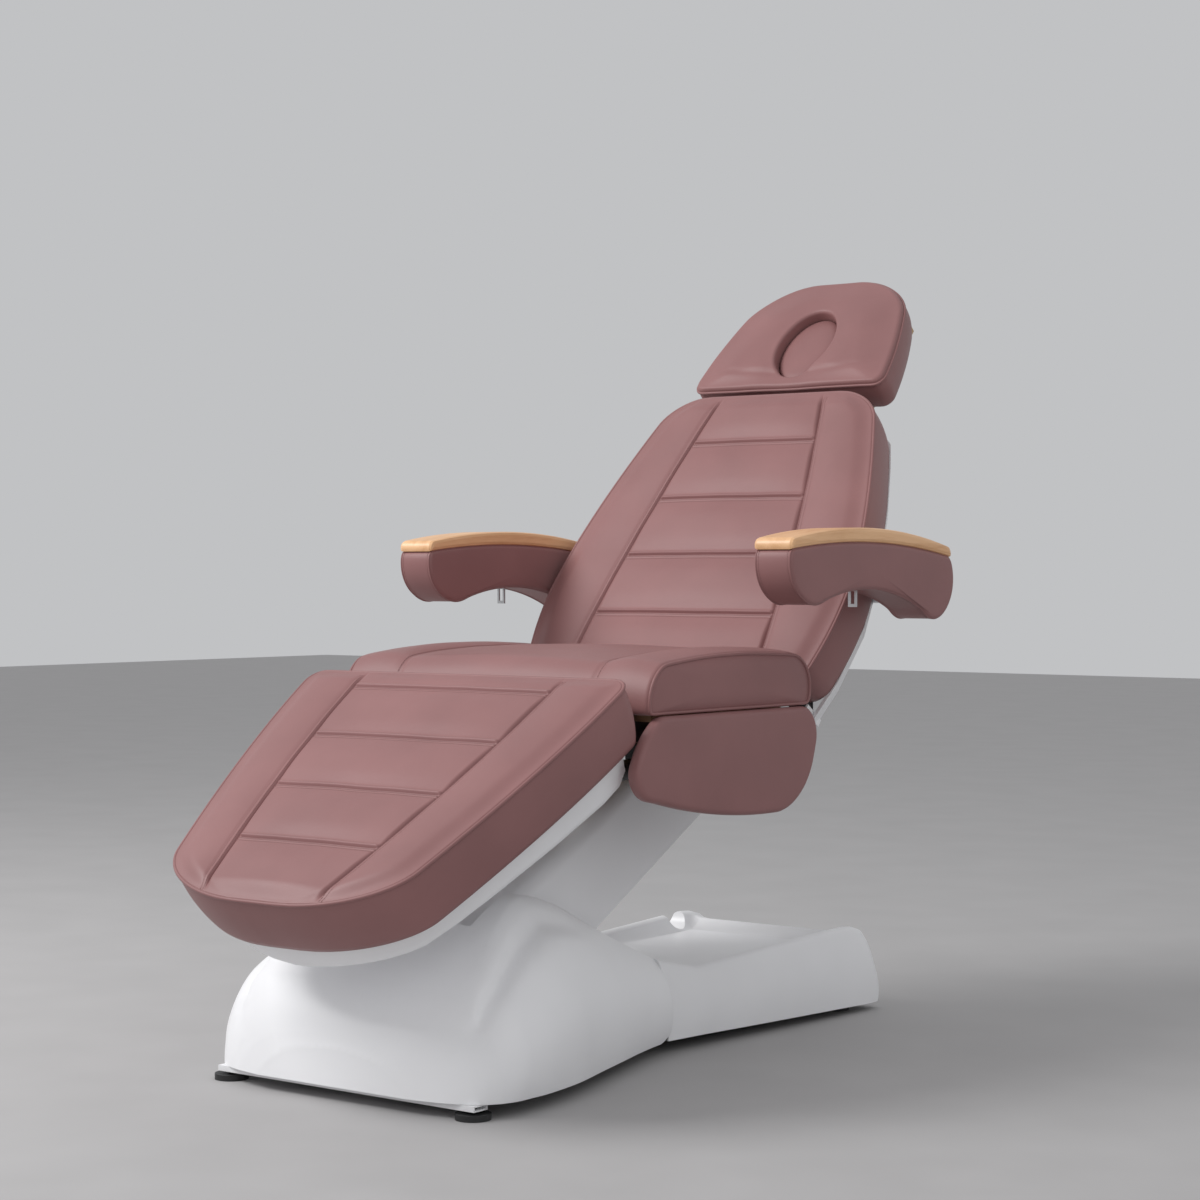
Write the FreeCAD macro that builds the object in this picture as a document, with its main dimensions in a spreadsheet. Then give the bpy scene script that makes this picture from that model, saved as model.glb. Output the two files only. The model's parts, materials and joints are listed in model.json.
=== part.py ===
"""Electric beauty bed: a lift arm on a low base carries a seat, leg rest, backrest, headrest and armrests.

Frame: origin on the floor under the middle of the bed, +X to the sitter's left, +Y to the head, +Z up.
Each section is drawn level in its own hinge frame, and then tilted to the angle that it is stored at.
"""
import FreeCAD, Part
import Sketcher
import math
import os
import re

Vector = FreeCAD.Vector

DIMENSIONS = [
    # Base frame, lift pivots and feet
    ("lift_pivot_y", -372, "lift arm pivot, along the bed"),
    ("lift_pivot_z", 176, "lift arm pivot, above the floor"),
    ("lift_angle", 29.5, "lift arm above level"),
    ("arm_length", 500, "lift arm, pivot to pivot"),
    ("link_behind", 24, "level link pivot behind the arm pivot"),
    ("link_below", 42, "level link pivot below the arm pivot"),
    ("shaft_radius", 12, "lift arm shafts"),
    ("link_pin_radius", 8, "level link pins"),
    ("hinge_pin_radius", 8, "leg and back hinge pins"),
    ("clevis_pin_radius", 6, "actuator pins"),
    ("running_clearance", 0.05, "radial room round a pin"),
    ("side_clearance", 0.3, "room beside a moving plate"),
    ("soft_clearance", 0.3, "room under upholstery"),
    ("foot_radius", 26, "levelling foot disc"),
    ("foot_height", 9, "levelling foot disc"),
    ("foot_stem_radius", 5, "levelling foot thread"),
    ("foot_stem_length", 12, "levelling foot thread above its disc"),
    ("frame_bottom", 13, "underside of the base tubes"),
    ("base_tube_height", 26, "base tubes"),
    ("base_tube_width", 50, "base cross tubes"),
    ("tube_wall", 2, "steel tube wall"),
    ("front_bar_y", -600, "front foot bar, middle"),
    ("front_bar_half", 256, "front foot bar, half length"),
    ("front_bar_width", 30, "front foot bar"),
    ("front_bar_height", 8.5, "front foot bar"),
    ("front_foot_x", 242, "front feet from the middle"),
    ("rear_tube_y", 493, "rear cross tube, middle"),
    ("rear_tube_half", 168, "rear cross tube, half length"),
    ("rear_foot_x", 148, "rear feet from the middle"),
    ("base_rail_x", 110, "base rails from the middle"),
    ("base_rail_width", 40, "base rails"),
    ("tower_inner", 92, "pivot tower, inner face"),
    ("tower_thickness", 8, "pivot tower plate"),
    ("tower_half_width", 45, "pivot tower plate, half width"),
    ("tower_splay", 25, "pivot tower wider at its foot, each way"),
    ("tower_head", 30, "pivot tower above the pivot"),
    ("lift_foot_behind", 60, "lift actuator foot behind the arm pivot"),
    ("lift_foot_height", 66, "lift actuator foot above the floor"),
    # Base covers
    ("cover_bottom", 22, "lower edge of the base covers"),
    ("cover_wall", 4, "base cover wall"),
    ("cover_front_reach", 264, "front cover ahead of the arm pivot"),
    ("cover_half_width", 284, "front cover at its widest"),
    ("cover_crest", 288, "top of the front cover"),
    ("waist_behind", 333, "seam between the base covers behind the arm pivot"),
    ("waist_half_width", 173, "base covers at the seam"),
    ("waist_height", 152, "base covers at the seam"),
    ("slot_half_width", 128, "arm slot in the front cover"),
    ("slot_ahead", 100, "arm slot ahead of the arm pivot"),
    ("slot_wall_base", 96, "lower edge of the slot's walls"),
    ("lip_half_width", 150, "crest of the slot's lips from the middle"),
    ("rear_cover_end", 930, "rear cover behind the arm pivot"),
    ("rear_half_width", 204, "rear cover at its widest"),
    ("tray_floor", 119, "tray floor of the rear cover"),
    ("tray_rim", 150, "rim of the rear cover"),
    ("tray_slope", 28, "rim slope beside the tray floor"),
    ("tray_crest", 12, "rounded crest of the rear cover's rim, half width"),
    ("rear_bottom", 12, "lower edge of the rear cover at its end"),
    ("notch_radius", 26, "notch in the right rim of the rear cover"),
    ("notch_ahead", 116, "that notch from the rear end"),
    ("notch_rise", 3, "that notch above the tray floor"),
    ("apron_half_width", 122, "tray floor under the lift arm"),
    ("apron_behind", 185, "front of that floor behind the arm pivot"),
    ("cover_seam", 0.4, "gap between the base covers"),
    ("control_half_width", 100, "control box"),
    ("control_length", 150, "control box"),
    ("control_height", 52, "control box"),
    ("control_y", 90, "front of the control box"),
    ("inlet_half_width", 24, "mains inlet"),
    ("inlet_height", 30, "mains inlet"),
    ("inlet_z", 62, "mains inlet, lower edge"),
    ("inlet_depth", 22, "mains inlet"),
    # Lift arm, level links and lift actuator
    ("arm_plate_inner", 64, "lift arm side plate, inner face"),
    ("arm_plate_thickness", 6, "lift arm side plate"),
    ("arm_plate_half", 30, "lift arm side plate, half depth"),
    ("barrel_radius", 21, "lift arm barrels"),
    ("bush_wall", 3, "lift arm bushes"),
    ("bush_length", 26, "lift arm bushes"),
    ("arm_cover_half", 115, "lift arm cover, half width"),
    ("arm_cover_above", 75, "lift arm cover above the arm line"),
    ("arm_cover_below", 78, "lift arm cover below the arm line"),
    ("arm_cover_wall", 3, "lift arm cover wall"),
    ("arm_cover_ahead", 50, "lift arm cover ahead of the pivot"),
    ("arm_cover_end", 534, "lift arm cover end along the arm"),
    ("arm_cover_slant", 118, "lift arm cover end drawn back at its top"),
    ("arm_cover_round", 26, "lift arm cover edges"),
    ("arm_stay_radius", 12, "lift arm cross stays"),
    ("arm_stay_along", 160, "lower cross stay along the arm"),
    ("arm_stay_above", 15, "cross stays above the arm line"),
    ("lift_lug_along", 300, "lift actuator lug along the arm"),
    ("lift_lug_below", 20, "lift actuator lug below the arm line"),
    ("link_inner", 44, "level link, inner face"),
    ("link_thickness", 8, "level link"),
    ("link_half", 13, "level link, half depth"),
    ("link_eye_room", 0.5, "radial room in the level link's upper eye"),
    ("actuator_radius", 16, "actuator outer tube"),
    ("motor_half_width", 30, "actuator motor casing"),
    ("motor_below", 34, "actuator motor casing, below the tube line"),
    ("motor_above", 24, "actuator motor casing, above the tube line"),
    ("motor_length", 105, "actuator motor casing"),
    ("motor_eye", 13, "actuator eyes"),
    ("rod_radius", 9, "actuator rod"),
    ("rod_bore_room", 0.4, "radial room round the actuator rod"),
    ("lug_thickness", 8, "actuator lugs"),
    ("lug_half", 14, "actuator lugs, half width"),
    ("lift_tube_length", 205, "lift actuator, foot to the mouth of its tube"),
    ("lift_rod_start", 135, "inner end of the lift rod from the actuator's foot"),
    ("lift_pin_room", 3.2, "radial room in the lift rod's eye"),
    # Seat
    ("hinge_x", 240, "leg and back hinges from the middle"),
    ("rail_width", 30, "upper frame tubes"),
    ("rail_height", 30, "upper frame tubes"),
    ("tongue_width", 13.4, "hinge tongues"),
    ("hinge_half", 14, "hinge lugs, half depth"),
    ("seat_rail_top", 123, "seat frame above the arm's upper pivot"),
    ("board_thickness", 12, "plywood boards"),
    ("front_cross_ahead", 270, "front seat tube ahead of the upper pivot"),
    ("motor_cross_ahead", 40, "middle seat tube ahead of the upper pivot"),
    ("rear_cross_behind", 60, "rear seat tube behind the upper pivot"),
    ("carrier_inner", 76, "seat carrier plate, inner face"),
    ("carrier_thickness", 8, "seat carrier plate"),
    ("carrier_drop", 64, "seat carrier below the upper pivot"),
    ("carrier_foot", 30, "seat carrier round its pins"),
    ("carrier_overhang", 15, "seat carrier past the tubes that it hangs from"),
    ("leg_hinge_ahead", 327, "leg hinge ahead of the upper pivot"),
    ("leg_hinge_up", 118, "leg hinge above the upper pivot"),
    ("back_hinge_behind", 181, "back hinge behind the upper pivot"),
    ("back_hinge_up", 143, "back hinge above the upper pivot"),
    ("seat_front", 338, "seat cushion ahead of the upper pivot"),
    ("seat_rear", 96, "seat cushion behind the upper pivot, at its base"),
    ("seat_half_width", 318, "seat cushion"),
    ("seat_height", 86, "seat cushion to its piping"),
    ("seat_crown", 7, "seat cushion above its piping"),
    ("seat_stitch_half", 200, "seat seams from the middle"),
    ("skirt_inner", 300, "side skirt, inner face"),
    ("skirt_thickness", 26, "side skirt"),
    ("skirt_top", 134, "side skirt above the upper pivot"),
    ("skirt_drop", 32, "side skirt below the upper pivot"),
    ("skirt_front", 384, "side skirt ahead of the upper pivot"),
    ("skirt_rear", 100, "side skirt behind the upper pivot"),
    ("skirt_round", 9, "side skirt edges"),
    ("skirt_bracket_width", 40, "side skirt brackets"),
    # Leg rest
    ("leg_angle", 33.8, "leg rest below level"),
    ("leg_start", 18, "leg cushion from the leg hinge"),
    ("leg_length", 549, "leg cushion"),
    ("leg_half_width", 320, "leg cushion at the seat"),
    ("leg_taper", 110, "leg cushion drawn in at the foot"),
    ("leg_end_length", 95, "rounded foot end, along the leg"),
    ("leg_end_width", 170, "rounded foot end, across the leg"),
    ("leg_under", 22.8, "underside of the leg cushion above its hinge"),
    ("leg_edge", 78, "leg cushion to its piping"),
    ("leg_lip", 17.5, "sides of the leg cushion below its base"),
    ("leg_stitch_half", 200, "leg seams from the middle, at the seat"),
    ("leg_stitch_taper", 92, "leg seams drawn in at the foot"),
    ("leg_channel_first", 44, "first leg channel from the cushion's start"),
    ("leg_channel_step", 125, "between leg channels"),
    ("cushion_crown", 8, "panels above their seams"),
    ("channel_depth", 5, "sewn channels below their seams"),
    ("channel_half", 13, "half width of a sewn channel"),
    ("side_draw", 10, "cushion sides drawn in at the base"),
    ("side_bulge", 5, "cushion sides bulging"),
    ("leg_rail_front", 250, "leg frame from the leg hinge"),
    ("leg_rail_height", 24, "leg frame tubes"),
    ("leg_rail_top", 10.5, "leg frame above the leg hinge"),
    ("leg_cross_first", 112, "first leg cross tube from the hinge"),
    ("leg_spine_front", 440, "inner leg tubes from the leg hinge"),
    ("spine_x", 124, "inner leg and back tubes from the middle"),
    ("leg_torque_ahead", 35, "leg torque tube from the hinge"),
    ("leg_torque_radius", 11, "leg torque tube"),
    ("leg_lug_ahead", 40, "leg actuator lug from the hinge"),
    ("leg_lug_below", 80, "leg actuator lug below the hinge"),
    ("tray_wall", 3, "leg tray wall"),
    ("tray_inset", 21, "leg tray inside the cushion's outline"),
    ("tray_draft", 14, "leg tray drawn in at its base"),
    ("tray_start", 62, "leg tray from the leg hinge"),
    ("tray_foot_drop", 37, "leg tray below the hinge line at the foot"),
    ("tray_seat_drop", 60, "leg tray below the hinge line at the seat"),
    ("tray_round", 16, "leg tray lower edges"),
    ("tray_end", 22, "leg tray short of the cushion's foot end"),
    ("leg_motor_x", 157, "leg and back actuators from the middle"),
    ("leg_foot_ahead", 50, "leg actuator foot ahead of the upper pivot"),
    ("leg_foot_up", 52, "leg actuator foot above the upper pivot"),
    ("leg_tube_length", 190, "leg actuator, foot to the mouth of its tube"),
    ("leg_rod_start", 122, "inner end of the leg rod from the actuator's foot"),
    ("leg_pin_room", 3.4, "radial room in the leg rod's eye"),
    # Backrest
    ("back_angle", 54.5, "backrest above level"),
    ("back_low", 15, "back cushion below its hinge"),
    ("back_high", 590, "back cushion above its hinge"),
    ("back_half_width", 314, "back cushion at its widest"),
    ("back_wide_at", 150, "widest place of the back cushion"),
    ("back_taper", 104, "back cushion drawn in at the head"),
    ("back_low_taper", 24, "back cushion drawn in at the seat"),
    ("back_end_length", 60, "rounded back top, along the back"),
    ("back_end_width", 70, "rounded back top, across the back"),
    ("back_under", -9.5, "rear edge of the back cushion from its hinge"),
    ("back_edge", 92, "back cushion to its piping"),
    ("back_stitch_half", 196, "back seams from the middle, at the seat"),
    ("back_stitch_taper", 88, "back seams drawn in at the head"),
    ("back_channel_first", 123, "first back channel from the cushion's start"),
    ("back_channel_step", 124, "between back channels"),
    ("back_pocket_half", 262, "pocket in the back cushion for the frame"),
    ("back_pocket_top", 16, "depth line of that pocket from the hinge"),
    ("hinge_slot_top", 54, "depth line of the slots over the seat hinges"),
    ("hinge_slot_end", 26, "head end of those slots"),
    ("back_rail_end", 350, "back side rails above the hinge"),
    ("back_spine_end", 556, "inner back tubes above the hinge"),
    ("back_cross_first", 62, "first back cross tube"),
    ("back_lug_along", -5.5, "back actuator lug along the back"),
    ("back_lug_behind", 70, "back actuator lug behind the hinge"),
    ("shell_depth", 28, "back shell behind the cushion"),
    ("shell_wall", 3, "back shell wall"),
    ("shell_draft", 14, "draw-in of the back shell's sides"),
    ("shell_inset", 9, "back shell inside the cushion's outline"),
    ("shell_low", 20, "back shell below the cushion"),
    ("cup_depth", 14, "corners of the back shell under the cushion"),
    ("cup_top", 10, "top of those corners from the hinge"),
    ("shell_gap_half", 264, "cut-out in the back shell for the hinges"),
    ("shell_gap_end", 88, "cut-out in the back shell, above the hinge"),
    ("back_foot_ahead", 135, "back actuator foot ahead of the upper pivot"),
    ("back_foot_up", 34, "back actuator foot above the upper pivot"),
    ("back_tube_length", 235, "back actuator, foot to the mouth of its tube"),
    ("back_rod_start", 187, "inner end of the back rod from the actuator's foot"),
    ("back_pin_room", 8.2, "radial room in the back rod's eye"),
    # Headrest
    ("head_angle", 47, "headrest above level"),
    ("head_hinge_along", 600, "head hinge along the back"),
    ("head_hinge_out", -4, "head hinge ahead of the back's hinge line"),
    ("head_ear_inner", 120, "head hinge ears, inner face"),
    ("head_ear_thickness", 8, "head hinge ears"),
    ("head_pin_radius", 6, "head hinge pins"),
    ("head_arm_thickness", 6, "headrest arms"),
    ("head_arm_length", 200, "headrest arms"),
    ("head_low", 14, "head cushion from its hinge"),
    ("head_high", 293, "head cushion's top"),
    ("head_half_width", 204, "head cushion"),
    ("head_taper", 22, "head cushion drawn in"),
    ("head_taper_span", 170, "length over which it draws in"),
    ("head_end_length", 95, "rounded head top, along the head"),
    ("head_end_width", 96, "rounded head top, across the head"),
    ("head_under", 6, "underside of the head cushion above its hinge"),
    ("head_edge", 68, "head cushion to its piping"),
    ("face_at", 123, "face hole from the head hinge"),
    ("face_half_width", 56, "face hole"),
    ("face_half_length", 82, "face hole"),
    ("plug_room", 0.5, "room round the face plug"),
    ("plug_recess", 14, "face plug below the piping"),
    ("head_board_half", 150, "headrest board"),
    ("head_board_start", 26, "headrest board from the hinge"),
    ("head_board_end", 232, "headrest board from the hinge"),
    # Armrests
    ("armrest_along", 220, "armrest pivot along the back"),
    ("armrest_out", -24, "armrest pivot behind the back's hinge line"),
    ("armrest_inner", 334, "armrest, inner face"),
    ("armrest_width", 74, "armrest"),
    ("armrest_front", 425, "armrest pad ahead of its pivot"),
    ("armrest_rear", 60, "armrest pad behind its pivot"),
    ("armrest_top_front", 78, "armrest pad above its pivot, at the front"),
    ("armrest_top_rear", 68, "armrest pad above its pivot, at the rear"),
    ("armrest_arch", 17, "rise of the armrest's top"),
    ("armrest_belly_rise", 26, "rise of the arch under the armrest"),
    ("front_lobe_at", 325, "rear of the front lobe ahead of the pivot"),
    ("wood_thickness", 25, "wooden armrest top"),
    ("wood_round", 6, "wooden armrest edges"),
    ("pad_round", 5, "armrest pad edges"),
    ("armrest_pin_radius", 10, "armrest pivot pin"),
    ("hub_wall", 6, "armrest hub"),
    ("hub_length", 56, "armrest hub"),
    ("hub_room", 0.2, "room round the armrest hub"),
    ("tab_ahead", 195, "release tab ahead of the armrest pivot"),
    ("tab_width", 16, "release tab"),
    ("tab_thickness", 2.5, "release tab"),
    ("tab_pivot", 20, "release tab pin above the armrest pivot"),
    ("tab_length", 34, "release tab"),
    ("tab_barrel", 3, "release tab barrel"),
    ("tab_pin_radius", 1.5, "release tab pin"),
    ("tab_pocket_half", 14, "pocket round the release tab"),
    ("tab_pocket_depth", 8, "pocket above the tab's pin"),
]

ALIASES = {alias for alias, _, _ in DIMENSIONS}
WORD = re.compile(r"[a-z][a-z0-9_]*")
SIDES = (("left", 1), ("right", -1))
TAPER_POWER = 1.56
CHANNELS = 4
BONNET_STEPS = 26
NOSE_SLICES = 7
FRONT_WALL_SLICES = 2
FLANK_STEPS = 20
GROOVE_HALF = 0.08
LIP_ROOM = 3
SHELL_SHARES = (0, 0.12, 0.3, 0.5, 0.7, 0.86, 0.94, 1)
TRAY_SHARES = (0, 0.04, 0.12, 0.35, 0.6, 0.75, 0.85, 0.89, 0.925, 0.95, 0.97, 0.985, 1)
BEYOND = 10
PIECES = []

doc = FreeCAD.newDocument("beauty_bed")
dims = doc.addObject("Spreadsheet::Sheet", "dims")
for row, (alias, value, meaning) in enumerate(DIMENSIONS, 1):
    dims.set(f"A{row}", meaning)
    dims.set(f"B{row}", str(value))
    dims.setAlias(f"B{row}", alias)
doc.recompute()


# Formulas and placing

def linked(formula):
    """A formula of aliases as an expression on the sheet."""
    return WORD.sub(lambda m: "dims." + m.group() if m.group() in ALIASES else m.group(), str(formula))


def bind(item, path, formula):
    item.setExpression(path, linked(formula))


def number(formula):
    """The present value of a formula."""
    result = dims.evalExpression(linked(formula))
    return float(getattr(result, "Value", result))


def place(item, at, axis="1; 0; 0", angle="0"):
    turn = f"rotation(vector({axis}); {angle})"
    bind(item, "Placement", f"placement(vector({at[0]}; {at[1]}; {at[2]}); {turn})")


def turned(origin, along, out, angle):
    """A point given along and out of a tilted section, as formulas for y and z."""
    y = f"({origin[0]} + ({along}) * cos({angle}) - ({out}) * sin({angle}))"
    z = f"({origin[1]} + ({along}) * sin({angle}) + ({out}) * cos({angle}))"
    return y, z


def aimed(start, end):
    """The direction and distance from one point to another, as formulas."""
    dy = f"({end[0]} - {start[0]})"
    dz = f"({end[1]} - {start[1]})"
    return f"atan2({dz}; {dy})", f"sqrt({dy}^2 + {dz}^2)"


LIFT = ("lift_pivot_y", "lift_pivot_z")
LINK = ("(lift_pivot_y + link_behind)", "(lift_pivot_z - link_below)")
SEAT = turned(LIFT, "arm_length", "0", "lift_angle")
LEG = (f"({SEAT[0]} - leg_hinge_ahead)", f"({SEAT[1]} + leg_hinge_up)")
BACK = (f"({SEAT[0]} + back_hinge_behind)", f"({SEAT[1]} + back_hinge_up)")
HEAD = turned(BACK, "head_hinge_along", "head_hinge_out", "back_angle")
ARMREST = turned(BACK, "armrest_along", "armrest_out", "back_angle")
LIFT_FOOT = ("(lift_pivot_y + lift_foot_behind)", "lift_foot_height")
LIFT_LUG = turned(LIFT, "lift_lug_along", "-lift_lug_below", "lift_angle")
LEG_FOOT = (f"({SEAT[0]} - leg_foot_ahead)", f"({SEAT[1]} + leg_foot_up)")
LEG_LUG = turned(LEG, "-leg_lug_ahead", "-leg_lug_below", "leg_angle")
BACK_FOOT = (f"({SEAT[0]} - back_foot_ahead)", f"({SEAT[1]} + back_foot_up)")
BACK_LUG = turned(BACK, "back_lug_along", "-back_lug_behind", "back_angle")
FRAMES = {
    "floor": (("0", "0"), "0"),
    "arm": (LIFT, "lift_angle"),
    "link": (LINK, "lift_angle"),
    "seat": (SEAT, "0"),
    "leg": (LEG, "leg_angle"),
    "back": (BACK, "back_angle"),
    "head": (HEAD, "head_angle"),
    "armrest": (ARMREST, "0"),
    "lift_motor": (LIFT_FOOT, aimed(LIFT_FOOT, LIFT_LUG)[0]),
    "leg_motor": (LEG_FOOT, aimed(LEG_FOOT, LEG_LUG)[0]),
    "back_motor": (BACK_FOOT, aimed(BACK_FOOT, BACK_LUG)[0]),
}


def piece(item, label, frame, x="0"):
    """Names a finished sub-part and places it in its section's frame."""
    (y, z), angle = FRAMES[frame]
    item.Label = label
    place(item, (x, y, z), angle=angle)
    PIECES.append(item)
    return item


# Solids with bound sizes

def box(x_span, y_span, z_span):
    solid = doc.addObject("Part::Box", "Block")
    spans = (x_span, y_span, z_span)
    for prop, (low, high) in zip(("Length", "Width", "Height"), spans):
        bind(solid, prop, f"({high}) - ({low})")
    place(solid, [low for low, _ in spans])
    return solid


def rod(axis, start, length, radius):
    """A round bar from start along one axis."""
    turn = {"x": ("0; 1; 0", "90"), "y": ("1; 0; 0", "-90"), "z": ("0; 0; 1", "0")}[axis]
    solid = doc.addObject("Part::Cylinder", "Bar")
    bind(solid, "Height", length)
    bind(solid, "Radius", radius)
    place(solid, start, *turn)
    return solid


def cross_rod(half, y, z, radius):
    """A round bar across the bed, as long each way from the middle."""
    return rod("x", (f"-({half})", y, z), f"2 * ({half})", radius)


def fuse(*solids):
    joined = doc.addObject("Part::MultiFuse", "Weldment")
    joined.Shapes = list(solids)
    return joined


def cut(base, *tools):
    """The base with each tool taken out of it in turn."""
    for tool in tools:
        result = doc.addObject("Part::Cut", "Cut")
        result.Base = base
        result.Tool = tool
        base = result
    return base


def group(*solids):
    together = doc.addObject("Part::Compound", "Group")
    together.Links = list(solids)
    return together


def sided(side, low, high):
    """A span across the bed on one side of it."""
    if side > 0:
        return f"({low})", f"({high})"
    return f"-({high})", f"-({low})"


def tube(x_span, y_span, z_span, along):
    """A square tube, open at both ends."""
    spans = {"x": x_span, "y": y_span, "z": z_span}
    inner = {}
    for axis, (low, high) in spans.items():
        room = f"-{BEYOND}" if axis == along else "tube_wall"
        inner[axis] = (f"{low} + {room}", f"{high} - {room}")
    return cut(box(*spans.values()), box(*inner.values()))


def formed(shape):
    solid = doc.addObject("Part::Feature", "Form")
    solid.Shape = shape
    return solid


# Bodies drawn from a side outline

def origin_plane(body, role):
    return next(item for item in body.Origin.OriginFeatures if item.Role == role)


def arc_radius(start, end, rise):
    chord = f"(({end[0]} - ({start[0]}))^2 + ({end[1]} - ({start[1]}))^2)"
    return f"({chord} / 4 + ({rise})^2) / (2 * ({rise}))"


def outline_edge(start, end, rise):
    """A line, or an arc that stands out to the right of its direction by its rise."""
    a = Vector(number(start[0]), number(start[1]), 0)
    b = Vector(number(end[0]), number(end[1]), 0)
    if rise is None:
        return Part.LineSegment(a, b)
    run = b - a
    out = Vector(run.y, -run.x, 0)
    out.normalize()
    return Part.Arc(a, (a + b) * 0.5 + out * number(rise), b)


def outline_sketch(body, corners):
    """A closed outline seen from the side, with every corner and radius bound to the sheet."""
    sketch = body.newObject("Sketcher::SketchObject", "Outline")
    sketch.AttachmentSupport = [(origin_plane(body, "YZ_Plane"), "")]
    sketch.MapMode = "FlatFace"
    count = len(corners)
    ends = []
    for index, (y, z, rise) in enumerate(corners):
        following = corners[(index + 1) % count]
        edge = outline_edge((y, z), following[:2], rise)
        made = sketch.addGeometry(edge, False)
        drawn = sketch.Geometry[made]
        start = Vector(number(y), number(z), 0)
        forward = (drawn.StartPoint - start).Length < (drawn.EndPoint - start).Length
        ends.append((made, 1, 2) if forward else (made, 2, 1))
    for index, (y, z, rise) in enumerate(corners):
        made, first, last = ends[index]
        following, next_first, _ = ends[(index + 1) % count]
        sketch.addConstraint(Sketcher.Constraint("Coincident", made, last, following, next_first))
        for kind, formula in (("DistanceX", y), ("DistanceY", z)):
            limit = Sketcher.Constraint(kind, -1, 1, made, first, number(formula))
            bind(sketch, f"Constraints[{sketch.addConstraint(limit)}]", formula)
        if rise is not None:
            radius = arc_radius((y, z), corners[(index + 1) % count][:2], rise)
            limit = Sketcher.Constraint("Radius", made, abs(number(radius)))
            bind(sketch, f"Constraints[{sketch.addConstraint(limit)}]", f"abs({radius})")
    return sketch


def padded_outline(corners, width):
    """A body of one thickness from its side outline."""
    body = doc.addObject("PartDesign::Body", "Body")
    sketch = outline_sketch(body, corners)
    pad = body.newObject("PartDesign::Pad", "Pad")
    pad.Profile = sketch
    bind(pad, "Length", width)
    sketch.Visibility = False
    return body


# Lofted cushions and covers

def arc_edge(start, middle, end):
    return Part.Arc(start, middle, end).toShape()


def line_edge(start, end):
    return Part.LineSegment(start, end).toShape()


def inward(edge, at_end):
    """The direction into an outline at one end of an edge walked with the inside on its left."""
    tangent = edge.tangent(edge.LastParameter if at_end else edge.FirstParameter)[0]
    return Vector(-tangent.y, tangent.x, 0)


def slab_wire(corners, x, inset):
    """A side outline at one place across the bed, drawn in by an inset."""
    count = len(corners)
    curves = [outline_edge(corner[:2], corners[(index + 1) % count][:2], corner[2])
              for index, corner in enumerate(corners)]
    spots = []
    for index, (y, z, _) in enumerate(corners):
        before = inward(curves[index - 1], True)
        after = inward(curves[index], False)
        shift = (before + after) * (inset / (1 + before.dot(after)))
        spots.append(Vector(number(y), number(z), 0) + shift)
    edges = []
    for index, (curve, corner) in enumerate(zip(curves, corners)):
        start = spots[index]
        end = spots[(index + 1) % count]
        if corner[2] is None:
            edges.append(line_edge(start, end))
            continue
        half_way = (curve.FirstParameter + curve.LastParameter) / 2
        tangent = curve.tangent(half_way)[0]
        edges.append(arc_edge(start, curve.value(half_way) + Vector(-tangent.y, tangent.x, 0) * inset, end))
    wire = Part.Wire(edges)
    wire.Placement = FreeCAD.Placement(Vector(x, 0, 0), FreeCAD.Rotation(Vector(1, 1, 1), 120))
    return wire


def rounded_slab(corners, width, curve, start):
    """A slab of one outline with softened rims on both sides."""
    steps = [(0, curve), (0.3 * curve, 0.3 * curve), (curve, 0)]
    places = [(x, inset) for x, inset in steps] + [(width - x, inset) for x, inset in reversed(steps)]
    return Part.makeLoft([slab_wire(corners, start + x, inset) for x, inset in places], True, True)


def cushion_section(y, half, stitch, under, edge, seam, middle_rise):
    """A slice across a cushion: base, bulging sides, crowned side panels and a middle panel."""
    crown = number("cushion_crown")
    draw = min(number("side_draw"), half / 4)
    bulge = number("side_bulge")
    stitch = min(stitch, half * 0.6)
    foot = [Vector(side * (half - draw), y, under) for side in (-1, 1)]
    rim = [Vector(side * half, y, edge) for side in (-1, 1)]
    sewn = [Vector(side * stitch, y, seam) for side in (-1, 1)]
    flank = [Vector(side * (half - draw / 2 + bulge), y, (under + edge) / 2) for side in (-1, 1)]
    swell = min(crown, (half - stitch) / 4)
    bolster = [(rim[i] + sewn[i]) * 0.5 + Vector(0, 0, swell) for i in (0, 1)]
    middle = Vector(0, y, seam + middle_rise)
    return Part.Wire([
        line_edge(foot[0], foot[1]),
        arc_edge(foot[1], flank[1], rim[1]),
        arc_edge(rim[1], bolster[1], sewn[1]),
        arc_edge(sewn[1], middle, sewn[0]),
        arc_edge(sewn[0], bolster[0], rim[0]),
        arc_edge(rim[0], flank[0], foot[0]),
    ])


def rounded_end(distance, start, length, width):
    """How far an outline is drawn in over a rounded end."""
    share = min(max((distance - start) / length, 0), 1)
    return width * (1 - math.sqrt(1 - share ** 2))


def channel_places(first, step):
    """Where slices fall over sewn channels: before, in and after each."""
    half = number("channel_half")
    places = []
    for index in range(CHANNELS):
        middle = first + index * step
        places += [(middle - half, 1), (middle, -1), (middle + half, 1)]
    return places


def sewn_cushion(places, outline, stitch, under, edge, seam):
    """A ruled loft through slices; a place is its distance, its panel's rise and its drop at an end."""
    crown = number("cushion_crown")
    depth = number("channel_depth")
    wires = []
    for distance, rise, drop in places:
        y, half = outline(distance)
        middle = crown if rise > 0 else -depth
        heights = (under, edge - drop, seam - drop, middle)
        wires.append(cushion_section(y, half - drop, stitch(distance), *heights))
    return Part.makeLoft(wires, True, True)


def leg_outline(distance):
    share = distance / number("leg_length")
    half = number("leg_half_width") - number("leg_taper") * share ** TAPER_POWER
    start = number("leg_length - leg_end_length")
    half -= rounded_end(distance, start, number("leg_end_length"), number("leg_end_width"))
    return -number("leg_start") - distance, half


def leg_stitch(distance):
    share = distance / number("leg_length")
    return number("leg_stitch_half") - number("leg_stitch_taper") * share ** TAPER_POWER


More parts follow.
